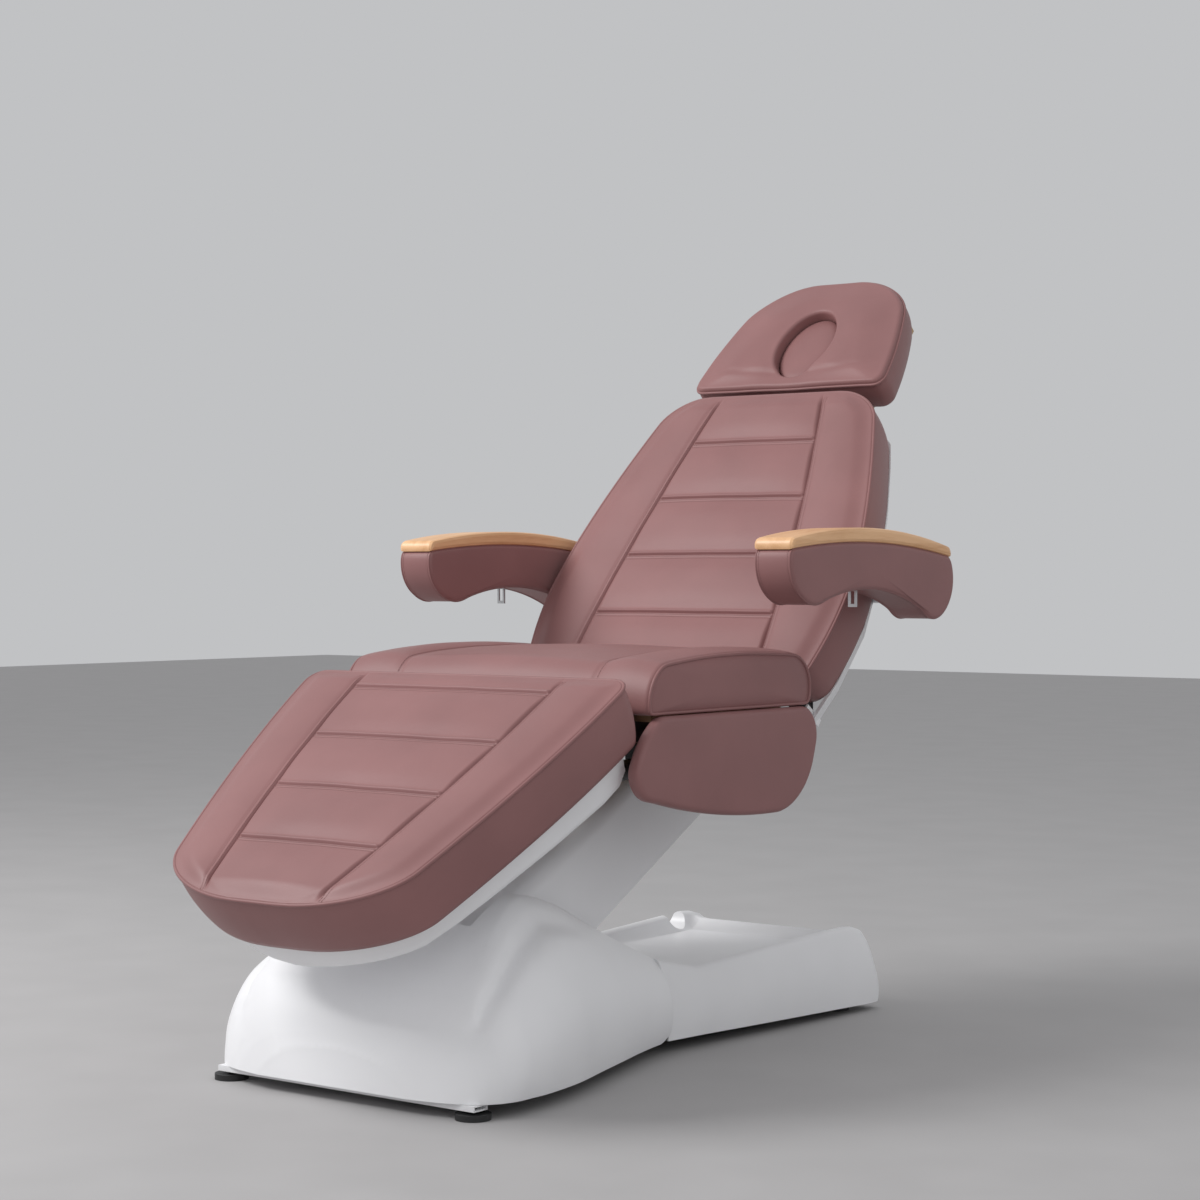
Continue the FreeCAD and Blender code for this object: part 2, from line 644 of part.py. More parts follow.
def back_outline(distance):
    y = distance - number("back_low")
    above = y - number("back_wide_at")
    if above > 0:
        share = above / number("back_high - back_wide_at")
        half = number("back_half_width") - number("back_taper") * share ** TAPER_POWER
    else:
        share = above / number("back_low + back_wide_at")
        half = number("back_half_width") - number("back_low_taper") * share ** 2
    start = number("back_high - back_end_length")
    return y, half - rounded_end(y, start, number("back_end_length"), number("back_end_width"))


def back_stitch(distance):
    share = distance / number("back_low + back_high")
    return number("back_stitch_half") - number("back_stitch_taper") * share ** TAPER_POWER


def head_outline(distance):
    y = number("head_low") + distance
    half = number("head_half_width") - number("head_taper") * (y / number("head_taper_span")) ** 2
    start = number("head_high - head_end_length")
    return y, half - rounded_end(y, start, number("head_end_length"), number("head_end_width"))


def head_stitch(distance):
    return head_outline(distance)[1] * 0.55


def end_places(length, end_length):
    """Slices over a rounded end, closer together towards its tip."""
    return [(length - end_length * (1 - share), 1, 0) for share in (0, 0.35, 0.62, 0.82, 0.94, 1)]


def leg_cushion():
    length = number("leg_length")
    channels = channel_places(number("leg_channel_first"), number("leg_channel_step"))
    places = [(0, 1, 22), (10, 1, 7)] + [(place_at, rise, 0) for place_at, rise in channels]
    places += end_places(length, number("leg_end_length"))
    places.sort()
    under = number("leg_under")
    edge = under + number("leg_edge")
    whole = sewn_cushion(places, leg_outline, leg_stitch, under - number("leg_lip"), edge, edge + 3)
    lip = number("tray_inset") - LIP_ROOM
    start = -number("leg_start") - BEYOND
    end = length - number("tray_end") + LIP_ROOM
    places = [start + (end - start) * share for share in TRAY_SHARES]
    pocket = [leg_tray_section(distance, under, 2 * BEYOND, lip, 1, 1) for distance in places]
    return whole.cut(Part.makeLoft(pocket, True, True))


def back_cushion():
    length = number("back_low + back_high")
    channels = channel_places(number("back_channel_first"), number("back_channel_step"))
    places = [(0, 1, 26), (12, 1, 9), (34, 1, 0)] + [(place_at, rise, 0) for place_at, rise in channels]
    places += end_places(length, number("back_end_length"))
    places.sort()
    under = number("back_under")
    edge = under + number("back_edge")
    whole = sewn_cushion(places, back_outline, back_stitch, under, edge, edge + 3)
    half = number("back_pocket_half")
    low = number("-back_low - side_bulge") - BEYOND
    depth = number("back_pocket_top - back_under") + BEYOND
    pocket_length = number("back_rail_end") + 6 - low
    pocket = Part.makeBox(2 * half, pocket_length, depth, Vector(-half, low, under - BEYOND))
    way = number("head_ear_inner + head_ear_thickness + head_arm_thickness") + BEYOND
    mouth = Part.makeBox(2 * way, number("back_high"), depth, Vector(-way, 0, under - BEYOND))
    cushion = whole.cut(pocket).cut(mouth)
    slot_half = number("rail_width / 2") + 6
    slot_depth = number("hinge_slot_top - back_under") + BEYOND
    for _, side in SIDES:
        corner = Vector(side * number("hinge_x") - slot_half, low, under - BEYOND)
        cushion = cushion.cut(Part.makeBox(2 * slot_half, number("hinge_slot_end") - low, slot_depth, corner))
    return cushion


def face_prism(half_width, half_length, low, high):
    """An upright oval column through the headrest."""
    oval = Part.Ellipse(Vector(0, number("face_at") + half_length, low),
                        Vector(half_width, number("face_at"), low), Vector(0, number("face_at"), low))
    face = Part.Face(Part.Wire(oval.toShape()))
    return face.extrude(Vector(0, 0, high - low))


def head_cushion():
    length = number("head_high - head_low")
    places = [(0, 1, 16), (10, 1, 5), (30, 1, 0), (88, 1, 0), (140, 1, 0)]
    places += end_places(length, number("head_end_length"))
    under = number("head_under")
    edge = under + number("head_edge")
    whole = sewn_cushion(places, head_outline, head_stitch, under, edge, edge + 2)
    sizes = (number("face_half_width"), number("face_half_length"))
    return whole.cut(face_prism(*sizes, under - BEYOND, edge + 3 * BEYOND))


def seat_section(x, inset, rise):
    """A slice along the seat: flat base, waterfall front, crowned top and a rear drawn in under the back."""
    low = number("seat_rail_top + board_thickness + soft_clearance") + inset
    top = low + number("seat_height") + rise - 2 * inset
    front = -number("seat_front") + inset
    rear = number("seat_rear") - inset
    spots = {
        "front_low": Vector(x, front, low),
        "front_high": Vector(x, front + 38, top - 8),
        "rear_high": Vector(x, rear - 38, top - 2),
        "rear_low": Vector(x, rear, low),
    }
    nose = Vector(x, front + 10, top - 30)
    crest = Vector(x, (front + rear) / 2, top + 4)
    tail = Vector(x, rear + 6, (low + top) / 2)
    return Part.Wire([
        line_edge(spots["rear_low"], spots["front_low"]),
        arc_edge(spots["front_low"], nose, spots["front_high"]),
        arc_edge(spots["front_high"], crest, spots["rear_high"]),
        arc_edge(spots["rear_high"], tail, spots["rear_low"]),
    ])


def seat_cushion():
    half = number("seat_half_width")
    stitch = number("seat_stitch_half")
    crown = number("seat_crown")
    across = [(half, 9, 0), (half - 10, 0, 0), ((half + stitch) / 2, 0, crown), (stitch, 0, 1)]
    across += [(stitch / 2, 0, crown - 1), (0, 0, crown)]
    slices = [(-x, inset, rise) for x, inset, rise in across] + across[-2::-1]
    return Part.makeLoft([seat_section(*slice_at) for slice_at in slices], True, True)


def grooved_flank(foot, middle, crest, groove_at, depth):
    """One side of the front cover from its foot to its crest, with a soft groove along it."""
    arc = arc_edge(foot, middle, crest)
    points = [foot]
    for step in range(1, FLANK_STEPS):
        share = step / FLANK_STEPS
        spot = arc.valueAt(arc.FirstParameter + (arc.LastParameter - arc.FirstParameter) * share)
        inwards = (arc.Curve.Center - spot).normalize()
        points.append(spot + inwards * (depth * math.exp(-((share - groove_at) / GROOVE_HALF) ** 2)))
    return points + [crest]


def spline_edge(points):
    curve = Part.BSplineCurve()
    curve.interpolate(points)
    return curve.toShape()


def bonnet_section(y, half, lip, top, fullness, groove_at, depth, wall):
    """A slice across the front cover, inset by a wall."""
    low = number("cover_bottom") - (BEYOND if wall else 0)
    half -= wall
    lip -= wall
    top -= wall
    bulge = (top - low) * fullness
    sides = []
    for side in (-1, 1):
        foot = Vector(side * half, y, low)
        middle = Vector(side * ((half + lip) / 2 + bulge), y, (low + top + bulge) / 2)
        sides.append(grooved_flank(foot, middle, Vector(side * lip, y, top), groove_at, depth))
    right, left = sides
    dome = top + 2 + 0.06 * (number("cover_crest") - top)
    return Part.Wire([
        line_edge(right[0], left[0]),
        spline_edge(left),
        arc_edge(left[-1], Vector(0, y, dome), right[-1]),
        spline_edge(right[::-1]),
    ])


def bonnet_slices():
    """Slices of the front cover from its nose to the seam.

    Each has its place, half width, lip, height, fullness, and the height share and depth of its groove.
    """
    widest = number("cover_half_width")
    lip = number("lip_half_width")
    crest = number("cover_crest")
    waist = (number("waist_behind"), number("waist_half_width"), lip - 7, number("waist_height"))
    reach = -number("cover_front_reach")
    return [
        (reach, widest - 134, lip - 50, crest - 228, 0.12, 0.45, 0),
        (reach + 14, widest - 66, lip - 12, crest - 192, 0.16, 0.48, 0),
        (reach + 34, widest - 28, lip + 14, crest - 158, 0.20, 0.55, 4),
        (reach + 60, widest - 8, lip + 34, crest - 126, 0.23, 0.68, 10),
        (reach + 92, widest, lip + 38, crest - 96, 0.24, 0.77, 14),
        (reach + 140, widest, lip + 26, crest - 58, 0.22, 0.80, 15),
        (reach + 196, widest - 6, lip + 10, crest - 20, 0.19, 0.81, 14),
        (reach + 249, widest - 16, lip, crest, 0.17, 0.82, 12),
        (reach + 324, widest - 38, lip - 2, crest - 18, 0.16, 0.84, 6),
        (reach + 414, widest - 64, lip - 4, crest - 58, 0.16, 0.85, 0),
        (reach + 504, widest - 90, lip - 6, crest - 98, 0.16, 0.85, 0),
        (*waist, 0.16, 0.85, 0),
    ]


def smoothed(knots, places):
    """Values between knots along a curve that never overshoots them."""
    slopes = [(b[1] - a[1]) / (b[0] - a[0]) for a, b in zip(knots, knots[1:])]
    leans = [slopes[0]]
    for before, after in zip(slopes, slopes[1:]):
        leans.append(2 * before * after / (before + after) if before * after > 0 else 0)
    leans.append(slopes[-1])
    values = []
    for place_at in places:
        index = max(i for i in range(len(slopes)) if knots[i][0] <= place_at)
        (x0, y0), (x1, y1) = knots[index], knots[index + 1]
        t = (place_at - x0) / (x1 - x0)
        rise = (x1 - x0) * (leans[index] * (1 - t) - leans[index + 1] * t)
        values.append(y0 + (y1 - y0) * t + t * (1 - t) * (rise + (y1 - y0) * (2 * t - 1)))
    return values


def close_slices(slices):
    """The same run of slices, much closer together."""
    start = slices[0][0]
    span = slices[-1][0] - start
    shares = [(index / BONNET_STEPS) ** 1.6 for index in range(BONNET_STEPS)]
    places = [start + span * share for share in shares] + [slices[-1][0]]
    columns = [smoothed([(entry[0], entry[column]) for entry in slices], places)
               for column in range(1, len(slices[0]))]
    return list(zip(places, *columns))


def cover_loft(sections, nose):
    """A body through the sections: straight from one to the next round the nose, smooth behind it."""
    front = Part.makeLoft(sections[:nose], True, True)
    rest = Part.makeLoft(sections[nose - 1:], True, False)
    return front.fuse(rest)


def front_cover():
    pivot = number("lift_pivot_y")
    wall = number("cover_wall")
    slices = close_slices(bonnet_slices())
    outer = [bonnet_section(pivot + y, *form, 0) for y, *form in slices]
    last = slices[-1][0]
    hollow = [bonnet_section(pivot + y + BEYOND * (y == last), *form, wall)
              for y, *form in slices[FRONT_WALL_SLICES:]]
    slot = number("slot_half_width")
    start = number("lift_pivot_y - slot_ahead")
    length = number("slot_ahead + waist_behind") + BEYOND
    crest = number("cover_crest")
    base = number("slot_wall_base")
    walls = Part.makeBox(2 * (slot + wall), length + wall, crest, Vector(-slot - wall, start - wall, base))
    hollow = cover_loft(hollow, NOSE_SLICES - FRONT_WALL_SLICES).cut(walls)
    way = Part.makeBox(2 * slot, length, 2 * crest, Vector(-slot, start, 0))
    return cover_loft(outer, NOSE_SLICES).cut(hollow).cut(way)


def tray_section(y, half, rim, rim_x, floor, low, wall):
    """A slice across the rear cover: full sides, rounded rims and the tray floor between them."""
    half -= wall
    rim -= wall
    floor -= wall
    low -= BEYOND if wall else 0
    crest = number("tray_crest") - wall
    slope = number("tray_slope") - wall / 2
    edge = rim - crest / 2
    sides = []
    for side in (-1, 1):
        sides.append([
            Vector(side * half, y, low),
            Vector(side * ((half + rim_x + crest) / 2 + 6), y, (low + rim) / 2 + 8),
            Vector(side * (rim_x + crest), y, edge),
            Vector(side * rim_x, y, rim),
            Vector(side * (rim_x - crest), y, edge),
            Vector(side * (rim_x - (crest + slope) / 2), y, floor + (edge - floor) * 0.36),
            Vector(side * (rim_x - slope), y, floor),
        ])
    right, left = sides
    across = [line_edge(right[0], left[0]), line_edge(left[-1], right[-1])]
    return Part.Wire([across[0], *arcs_through(left), across[1], *arcs_through(right[::-1])])


def arcs_through(points):
    """Arcs end to end, each through three of the points."""
    return [arc_edge(*points[index:index + 3]) for index in range(0, len(points) - 2, 2)]


def rear_cover():
    pivot = number("lift_pivot_y")
    wall = number("cover_wall")
    waist = number("waist_behind + cover_seam")
    end = number("rear_cover_end")
    widest = number("rear_half_width")
    rim = number("tray_rim")
    floor = number("tray_floor")
    lip = number("lip_half_width")
    low = number("cover_bottom")
    fall = number("cover_bottom - rear_bottom") / (end - waist)
    slices = [
        (waist, number("waist_half_width"), number("waist_height"), lip - 7, floor),
        (waist + 99, widest - 27, rim - 20, lip + 2, floor),
        (waist + 273, widest - 15, rim - 9, lip + 14, floor),
        (end - 86, widest - 2, rim, lip + 24, floor),
        (end - 58, widest, rim - 2, lip + 24, rim - 13),
        (end - 32, widest, rim - 9, lip + 22, rim - 17),
        (end - 12, widest - 2, rim - 25, lip + 19, rim - 32),
        (end, widest - 6, rim - 44, lip + 14, rim - 51),
    ]
    last = len(slices) - 1
    outer = []
    hollow = []
    for index, (y, half, top, x, base) in enumerate(slices):
        bottom = low - fall * (y - waist)
        outer.append(tray_section(pivot + y, half, top, x, base, bottom, 0))
        inside = pivot + y - BEYOND * (index == 0) - wall * (index == last)
        hollow.append(tray_section(inside, half, top, x, base, bottom, wall))
    notch = Vector(-widest - BEYOND, pivot + end - number("notch_ahead"),
                   floor + number("notch_rise + notch_radius"))
    across = widest - lip + number("tray_slope") + BEYOND
    valley, bed = (Part.makeCylinder(number("notch_radius") + room, across, notch, Vector(1, 0, 0))
                   for room in (0, wall))
    outside = Part.makeLoft(outer, True, True).cut(valley)
    shell = outside.cut(Part.makeLoft(hollow, True, True).cut(bed))
    reach = number("apron_half_width")
    apron_start = number("lift_pivot_y + apron_behind")
    apron_length = pivot + waist + 2 * wall - apron_start
    apron = Part.makeBox(2 * reach, apron_length, wall, Vector(-reach, apron_start, floor - wall))
    shell = shell.fuse(apron).removeSplitter()
    half = number("inlet_half_width")
    mouth = Part.makeBox(2 * half, 3 * BEYOND, number("inlet_height"),
                         Vector(-half, pivot + end - 2 * BEYOND, number("inlet_z")))
    return shell.cut(mouth)


def leg_tray_section(distance, top, drop, inset, draft, curve):
    """A slice across the leg tray: rim, drafted sides and a base with rounded edges."""
    length = number("leg_length")
    y = leg_outline(distance)[0]
    half = leg_outline(max(distance, 0) * length / (length - number("tray_end")))[1]
    half = max(half - inset, 2 * inset)
    base = max(half - draft, inset)
    corner = curve * (1 - math.sqrt(0.5))
    rim = [Vector(side * half, y, top) for side in (-1, 1)]
    side_end = [Vector(side * base, y, curve - drop) for side in (-1, 1)]
    bend = [Vector(side * (base - corner), y, corner - drop) for side in (-1, 1)]
    floor = [Vector(side * (base - curve), y, -drop) for side in (-1, 1)]
    return Part.Wire([
        line_edge(rim[0], rim[1]),
        line_edge(rim[1], side_end[1]),
        arc_edge(side_end[1], bend[1], floor[1]),
        line_edge(floor[1], floor[0]),
        arc_edge(floor[0], bend[0], side_end[0]),
        line_edge(side_end[0], rim[0]),
    ])


def leg_tray():
    """A shallow drafted pan under the leg cushion, open at the top and notched for the hinge arms."""
    wall = number("tray_wall")
    top = number("leg_under - soft_clearance")
    start = number("tray_start - leg_start")
    length = number("leg_length - tray_end")
    seat_drop = number("tray_seat_drop")
    foot_drop = number("tray_foot_drop")
    inset = number("tray_inset")
    draft = number("tray_draft")
    curve = number("tray_round")

    def slices(shift, rise, thinner, taller):
        wires = []
        for share in TRAY_SHARES:
            distance = start + shift + (length - start - 2 * shift) * share
            drop = seat_drop + (foot_drop - seat_drop) * share - rise
            drop -= rounded_end(1 - share / TRAY_SHARES[2], 0, 1, curve)
            sizes = (inset + thinner, draft, curve - thinner)
            wires.append(leg_tray_section(distance, top + taller, drop, *sizes))
        return wires

    outer = Part.makeLoft(slices(0, 0, 0, 0), True, True)
    hollow = Part.makeLoft(slices(wall, wall, wall, BEYOND), True, True)
    tray = outer.cut(hollow)
    half = number("rail_width") / 2 + 2 * number("side_clearance")
    low = number("leg_rail_top - leg_rail_height") - 2
    for _, side in SIDES:
        corner = Vector(side * number("hinge_x") - half, -number("tray_start") - 3 * BEYOND, low)
        tray = tray.cut(Part.makeBox(2 * half, 6 * BEYOND, top - low + BEYOND, corner))
    return tray


def shell_section(distance, top, depth, inset):
    """A slice across the back shell: an open pan with drafted sides."""
    y, half = back_outline(distance)
    half -= inset
    base = half - number("shell_draft")
    return Part.makePolygon([Vector(-half, y, top), Vector(half, y, top), Vector(base, y, top - depth),
                             Vector(-base, y, top - depth), Vector(-half, y, top)])


def back_shell():
    """A shallow pan behind the back cushion, open towards it and cut out round the hinges."""
    wall = number("shell_wall")
    top = number("back_under - soft_clearance")
    depth = number("shell_depth")
    inset = number("shell_inset")
    length = number("back_low + back_high")
    start = -number("shell_low")
    draft = number("shell_draft")
    end = length - draft

    def slices(shift, rise, thinner, taller):
        wires = []
        for share in SHELL_SHARES:
            distance = start + shift + (end - start - 2 * shift) * share
            wires.append(shell_section(distance, top + taller, depth - rise + taller, inset + thinner))
        return wires

    outer = Part.makeLoft(slices(0, 0, 0, 0), True, True)
    hollow = Part.makeLoft(slices(wall, wall, wall, BEYOND), True, True)
    shell = outer.cut(hollow)
    half = number("shell_gap_half")
    low, cup_half = back_outline(start)
    for _, side in SIDES:
        reach = cup_half - inset - draft / 2 - half
        corner = Vector(half if side > 0 else -half - reach, low, top - depth)
        shell = shell.fuse(Part.makeBox(reach, number("cup_depth"), number("cup_top") - corner.z, corner))
    gap_start = Vector(-half, -6 * BEYOND, top - depth - BEYOND)
    gap = Part.makeBox(2 * half, number("shell_gap_end") + 6 * BEYOND, 6 * BEYOND, gap_start)
    way = number("head_ear_inner + head_ear_thickness + head_arm_thickness") + BEYOND
    mouth = Part.makeBox(2 * way, 80, depth + BEYOND, Vector(-way, number("back_spine_end"), top - depth + 6))
    width = 2 * number("back_half_width")
    pin_start = Vector(-width, number("armrest_along"), number("armrest_out"))
    pin = Part.makeCylinder(number("armrest_pin_radius") + 3, 2 * width, pin_start, Vector(1, 0, 0))
    return shell.cut(gap).cut(mouth).cut(pin)


# Base

def make_base():
    top = "frame_bottom + base_tube_height"
    heights = ("frame_bottom", top)
    half = "base_tube_width / 2"
    bar_half = "front_bar_width / 2"
    bar = tube(("-front_bar_half", "front_bar_half"),
               (f"front_bar_y - {bar_half}", f"front_bar_y + {bar_half}"),
               ("frame_bottom", "frame_bottom + front_bar_height"), "x")
    rear = tube(("-rear_tube_half", "rear_tube_half"), (f"rear_tube_y - {half}", f"rear_tube_y + {half}"),
                heights, "x")
    feet = []
    for _, side in SIDES:
        for x, y in ((f"{side} * front_foot_x", "front_bar_y"), (f"{side} * rear_foot_x", "rear_tube_y")):
            hole = rod("z", (x, y, "0"), "frame_bottom + front_bar_height + 1",
                       "foot_stem_radius + side_clearance")
            if y == "front_bar_y":
                bar = cut(bar, hole)
            else:
                rear = cut(rear, hole)
            stem = rod("z", (x, y, "0"), "foot_height + foot_stem_length", "foot_stem_radius")
            feet.append(fuse(rod("z", (x, y, "0"), "foot_height", "foot_radius"), stem))
    piece(bar, "front_foot_bar", "floor")
    piece(group(*feet), "levelling_feet", "floor")
    span = (f"front_bar_y + {bar_half}", f"rear_tube_y - {half}")
    rails = []
    towers = []
    for _, side in SIDES:
        x_span = sided(side, "base_rail_x - base_rail_width / 2", "base_rail_x + base_rail_width / 2")
        rails.append(tube(x_span, span, heights, "y"))
        plate = padded_outline(tower_outline(top), "tower_thickness")
        place(plate, (sided(side, "tower_inner", "tower_inner + tower_thickness")[0], "0", "0"))
        towers.append(cut(plate, cross_rod("2 * tower_inner", *LIFT, "shaft_radius + running_clearance"),
                          cross_rod("2 * tower_inner", *LINK, "link_pin_radius + running_clearance")))
    piece(group(*rails, rear), "base_frame_tubes", "floor")
    piece(group(*towers), "pivot_towers", "floor")
    outside = "tower_inner + tower_thickness + 4"
    piece(group(cross_rod(outside, *LIFT, "shaft_radius")), "lift_arm_shaft", "floor")
    piece(group(cross_rod(outside, *LINK, "link_pin_radius")), "lower_link_pin", "floor")
    make_lift_foot(top, heights)
    piece(formed(front_cover()), "base_front_cover", "floor")
    piece(formed(rear_cover()), "base_rear_cover", "floor")
    control = box(("-control_half_width", "control_half_width"), ("control_y", "control_y + control_length"),
                  (top, f"{top} + control_height"))
    piece(group(control), "control_box", "floor")
    end = "lift_pivot_y + rear_cover_end"
    shell = box(("-inlet_half_width + side_clearance", "inlet_half_width - side_clearance"),
                (f"{end} - inlet_depth", end),
                ("inlet_z + side_clearance", "inlet_z + inlet_height - side_clearance"))
    socket = box(("-inlet_half_width + 6", "inlet_half_width - 6"),
                 (f"{end} - inlet_depth + 6", f"{end} + {BEYOND}"),
                 ("inlet_z + 6", "inlet_z + inlet_height - 6"))
    piece(cut(shell, socket), "mains_inlet", "floor")


def tower_outline(top):
    """A pivot tower from the side: a splayed plate with a round head."""
    foot = "tower_half_width + tower_splay"
    return [
        (f"lift_pivot_y - ({foot})", top, None),
        (f"lift_pivot_y + {foot}", top, None),
        ("lift_pivot_y + tower_half_width", "lift_pivot_z", "tower_head"),
        ("lift_pivot_y - tower_half_width", "lift_pivot_z", None),
    ]


def make_lift_foot(top, heights):
    """Cross bar between the base rails with the lugs that hold the lift actuator's foot."""
    y, z = LIFT_FOOT
    bar = tube(("-(base_rail_x - base_rail_width / 2)", "base_rail_x - base_rail_width / 2"),
               (f"{y} - base_tube_width / 2", f"{y} + base_tube_width / 2"), heights, "x")
    inner = "motor_half_width + side_clearance"
    lugs = [box(sided(side, inner, f"{inner} + lug_thickness"), (f"{y} - lug_half", f"{y} + lug_half"),
                (top, f"{z} + lug_half")) for _, side in SIDES]
    hole = cross_rod("2 * motor_half_width", y, z, "clevis_pin_radius + running_clearance")
    piece(cut(fuse(bar, *lugs), hole), "lift_actuator_bracket", "floor")
    pin = cross_rod(f"{inner} + lug_thickness + 3", y, z, "clevis_pin_radius")
    piece(group(pin), "lift_actuator_pin", "floor")


# Lift arm and level links

def make_arm():
    shell = "shaft_radius + running_clearance + bush_wall"
    plates = []
    bushes = []
    barrels = []
    for y in ("0", "arm_length"):
        barrels.append(cross_rod("arm_plate_inner + arm_plate_thickness", y, "0", "barrel_radius"))
    for _, side in SIDES:
        plates.append(box(sided(side, "arm_plate_inner", "arm_plate_inner + arm_plate_thickness"),
                          ("-arm_plate_half", "arm_length + arm_plate_half"),
                          ("-arm_plate_half", "arm_plate_half")))
        for y in ("0", "arm_length"):
            outer = "arm_plate_inner + arm_plate_thickness"
            start = f"{outer} - bush_length" if side > 0 else f"-({outer})"
            bush = rod("x", (start, y, "0"), "bush_length", shell)
            bushes.append(cut(bush, cross_rod(outer, y, "0", "shaft_radius + running_clearance")))
    stays = [cross_rod("arm_cover_half - arm_cover_wall", along, "arm_stay_above", "arm_stay_radius")
             for along in ("arm_stay_along", "lift_lug_along")]
    inner = "motor_half_width + side_clearance"
    lugs = [box(sided(side, inner, f"{inner} + lug_thickness"),
                ("lift_lug_along - lug_half", "lift_lug_along + lug_half"),
                ("-lift_lug_below - lug_half", "arm_stay_above")) for _, side in SIDES]
    bores = [cross_rod("2 * arm_plate_inner", y, "0", shell) for y in ("0", "arm_length")]
    pin_hole = cross_rod("2 * motor_half_width", "lift_lug_along", "-lift_lug_below",
                         "clevis_pin_radius + running_clearance")
    piece(cut(fuse(*plates, *barrels, *stays, *lugs), *bores, pin_hole), "lift_arm", "arm")
    piece(group(*bushes), "lift_arm_bushes", "arm")
    rod_pin = cross_rod(f"{inner} + lug_thickness + 3", "lift_lug_along", "-lift_lug_below",
                        "clevis_pin_radius")
    piece(group(rod_pin), "lift_rod_pin", "arm")
    piece(formed(arm_cover()), "lift_arm_cover", "arm")
    make_links()


def arm_cover_face(inset):
    """The channel outline of the lift arm cover across the arm, inset by a wall."""
    half = number("arm_cover_half") - inset
    top = number("arm_cover_above") - inset
    low = -number("arm_cover_below") - (BEYOND if inset else 0)
    curve = number("arm_cover_round") - inset
    corner = curve * (1 - math.sqrt(0.5))
    y = -number("arm_cover_ahead") - (BEYOND if inset else 0)
    foot = [Vector(side * half, y, low) for side in (-1, 1)]
    shoulder = [Vector(side * half, y, top - curve) for side in (-1, 1)]
    bend = [Vector(side * (half - corner), y, top - corner) for side in (-1, 1)]
    roof = [Vector(side * (half - curve), y, top) for side in (-1, 1)]
    edges = [
        line_edge(foot[0], foot[1]),
        line_edge(foot[1], shoulder[1]),
        arc_edge(shoulder[1], bend[1], roof[1]),
        line_edge(roof[1], roof[0]),
        arc_edge(roof[0], bend[0], shoulder[0]),
        line_edge(shoulder[0], foot[0]),
    ]
    return Part.Face(Part.Wire(edges))


def arm_cover():
    length = number("arm_cover_ahead + arm_cover_end")
    outer = arm_cover_face(0).extrude(Vector(0, length, 0))
    inner = arm_cover_face(number("arm_cover_wall")).extrude(Vector(0, length + 2 * BEYOND, 0))
    half = number("arm_cover_half") + BEYOND
    end = number("arm_cover_end")
    top = number("arm_cover_above")
    low = -number("arm_cover_below")
    short = end - number("arm_cover_slant")
    past = end + BEYOND
    corners = [(short, top), (short, top + BEYOND), (past, top + BEYOND), (past, low), (end, low)]
    spots = [Vector(-half, y, z) for y, z in corners]
    offcut = Part.Face(Part.makePolygon(spots + spots[:1])).extrude(Vector(2 * half, 0, 0))
    return outer.cut(inner).cut(offcut)


def make_links():
    links = []
    for _, side in SIDES:
        x_span = sided(side, "link_inner", "link_inner + link_thickness")
        bar = box(x_span, ("0", "arm_length"), ("-link_half", "link_half"))
        ends = [rod("x", (x_span[0], y, "0"), "link_thickness", "link_half") for y in ("0", "arm_length")]
        lower = cross_rod("2 * link_inner", "0", "0", "link_pin_radius + running_clearance")
        upper = cross_rod("2 * link_inner", "arm_length", "0", "link_pin_radius + link_eye_room")
        links.append(cut(fuse(bar, *ends), lower, upper))
    piece(group(*links), "level_links", "link")


def make_actuator(name, foot, lug, x):
    """A motor casing with its outer tube and foot eye, and the rod that runs out of it to an open eye."""
    frame = f"{name}_motor"
    tube_length = f"{name}_tube_length"
    rod_start = f"{name}_rod_start"
    pin_room = f"{name}_pin_room"
    reach = aimed(foot, lug)[1]
    casing = box(("-motor_half_width", "motor_half_width"), ("motor_eye + 6", "motor_length"),
                 ("-motor_below", "motor_above"))
    neck = box(("-motor_eye", "motor_eye"), ("0", "motor_eye + 10"), ("-motor_eye", "motor_eye"))
    eye = cross_rod("motor_half_width", "0", "0", "motor_eye")
    outer = rod("y", ("0", "motor_length - 5", "0"), f"{tube_length} - motor_length + 5", "actuator_radius")
    hole = cross_rod("2 * motor_half_width", "0", "0", "clevis_pin_radius + running_clearance")
    bore = rod("y", ("0", "motor_length + 12", "0"), f"{tube_length} + {BEYOND}",
               "rod_radius + rod_bore_room")
    piece(cut(fuse(casing, neck, eye, outer), hole, bore), f"{name}_actuator_motor", frame, x)
    eye_radius = f"clevis_pin_radius + {pin_room} + 7"
    stem = rod("y", ("0", rod_start, "0"), f"{reach} - {rod_start}", "rod_radius")
    head = rod("x", ("-motor_eye", reach, "0"), "2 * motor_eye", eye_radius)
    eye_hole = cross_rod("2 * motor_eye", reach, "0", f"clevis_pin_radius + {pin_room}")
    piece(cut(fuse(stem, head), eye_hole), f"{name}_actuator_rod", frame, x)


# Seat

def hinge_ears(side, foot_span, upright_span, base, y, z):
    """Two round-headed plates on a rail with room for a hinge tongue between them."""
    room = "tongue_width / 2 + side_clearance"
    plate = f"(rail_width / 2 - ({room}))"
    hole_start = sided(side, "hinge_x - rail_width", "hinge_x + rail_width")[0]
    hole = rod("x", (hole_start, y, z), "2 * rail_width", "hinge_pin_radius + running_clearance")
    ears = []
    for low in ("hinge_x - rail_width / 2", f"hinge_x + {room}"):
        x_span = sided(side, low, f"{low} + {plate}")
        foot = box(x_span, foot_span, (base, "seat_rail_top"))
        upright = box(x_span, upright_span, (base, z))
        head = rod("x", (x_span[0], y, z), plate, "hinge_half")
        ears.append(cut(fuse(foot, upright, head), hole))
    return ears


